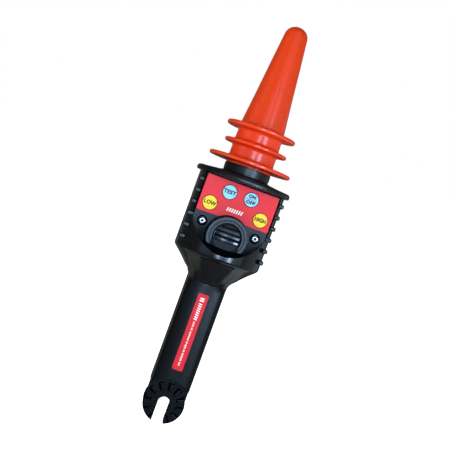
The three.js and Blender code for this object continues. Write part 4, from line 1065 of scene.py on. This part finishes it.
def area(name, az, el, dist, width, height, power, colour, target=(0, 0, 0.19)):
    """Soft box: azimuth measured at the object from the -Y side towards +X."""
    li = bpy.data.lights.new(name, "AREA")
    li.shape, li.size, li.size_y, li.energy, li.color = "RECTANGLE", width, height, power, colour
    ob = bpy.data.objects.new(name, li)
    scene.collection.objects.link(ob)
    a, e = math.radians(az), math.radians(el)
    d = Vector((math.sin(a) * math.cos(e), -math.cos(a) * math.cos(e), math.sin(e)))
    ob.location = Vector(target) + d * dist
    ob.rotation_mode = "QUATERNION"
    ob.rotation_quaternion = d.to_track_quat("Z", "Y")
    return ob


CAM_AZ = -5.2
def lit(ob, radiance, glossy=True, diffuse=True):
    ob.data.energy = radiance * math.pi * ob.data.size * ob.data.size_y
    ob.visible_glossy, ob.visible_diffuse = glossy, diffuse
    ob.visible_transmission = ob.visible_camera = False
    return ob


COOL = (0.52, 0.72, 1.0)
BLUER = (0.42, 0.66, 1.0)
lit(area("key_strip", CAM_AZ + 4.2, 0, 1.6, 0.17, 0.72, 1, COOL, (0, 0, 0.28)), 32, diffuse=False)
lit(area("second_strip", CAM_AZ + 34.6, 0, 1.6, 0.20, 0.72, 1, COOL, (0, 0, 0.28)), 42, diffuse=False)
lit(area("middle_card", CAM_AZ + 19, 0, 1.6, 0.56, 0.36, 1, BLUER, (0, 0, 0.13)), 4.0)
lit(area("left_near", -38, 0, 1.6, 0.9, 0.46, 1, COOL, (0, 0, 0.19)), 1.1)
lit(area("right_near", 53, 0, 1.6, 0.62, 0.46, 1, COOL, (0, 0, 0.19)), 1.3)
lit(area("right_card", 106, -4, 1.6, 2.0, 1.3, 1, (0.80, 0.96, 1.0), (0, 0, 0.15)), 0.36)
lit(area("left_card", -156, -4, 1.6, 1.0, 1.5, 1, (0.84, 1.0, 0.48), (0, 0, 0.15)), 0.09)
lit(area("low_right", 95, -58, 1.5, 1.5, 1.3, 1, (0.82, 0.96, 1.0)), 0.85)
lit(area("low_left", -95, -58, 1.5, 1.5, 1.3, 1, (0.92, 1.0, 0.78)), 0.36)
lit(area("high_card", 8, 52, 1.7, 1.0, 0.7, 1, COOL), 1.1)
lit(area("soft_front", CAM_AZ + 4, -5, 1.8, 1.5, 1.5, 1, (1.0, 0.99, 0.97)), 2.35, glossy=False)
lit(area("soft_left", -70, -4, 1.8, 1.2, 1.6, 1, (1.0, 0.98, 0.95)), 4.2, glossy=False)
lit(area("soft_right", 68, -4, 1.8, 1.2, 1.6, 1, (1.0, 0.98, 0.95)), 3.9, glossy=False)
lit(area("soft_back_left", -125, -42, 1.8, 1.2, 1.2, 1, (1.0, 0.97, 0.92)), 4.4, glossy=False)
lit(area("soft_back_right", 125, -42, 1.8, 1.2, 1.2, 1, (1.0, 0.97, 0.92)), 4.4, glossy=False)
lit(area("soft_below", 0, -58, 1.4, 1.3, 1.3, 1, (1.0, 0.97, 0.92)), 6.0, glossy=False)
lit(area("soft_top", 0, 58, 1.8, 1.2, 1.0, 1, (1.0, 0.98, 0.95)), 0.9, glossy=False)

cam = bpy.data.cameras.new("camera")
cam.sensor_width = 36.0
cam.lens = 62.2
cam.clip_start, cam.clip_end = 0.05, 200
co = bpy.data.objects.new("camera", cam)
scene.collection.objects.link(co)
a = math.radians(CAM_AZ)
co.location = Vector((0.700 * math.sin(a), -0.700 * math.cos(a), 0.190))
fwd = Vector((-math.sin(a), math.cos(a), 0.0))
co.rotation_mode = "QUATERNION"
co.rotation_quaternion = Quaternion(fwd, math.radians(-20.0)) @ fwd.to_track_quat("-Z", "Y")
side = co.rotation_quaternion @ Vector((1, 0, 0))
up = co.rotation_quaternion @ Vector((0, 1, 0))
centre = Vector((-0.00225 * math.cos(a), -0.00225 * math.sin(a), -0.0223))  # the frame's centre, from the level axis
cam.shift_x = centre.dot(side) / 0.700 * cam.lens / cam.sensor_width
cam.shift_y = centre.dot(up) / 0.700 * cam.lens / cam.sensor_width
scene.camera = co
scene.view_settings.view_transform = "Standard"
scene.view_settings.look = "None"
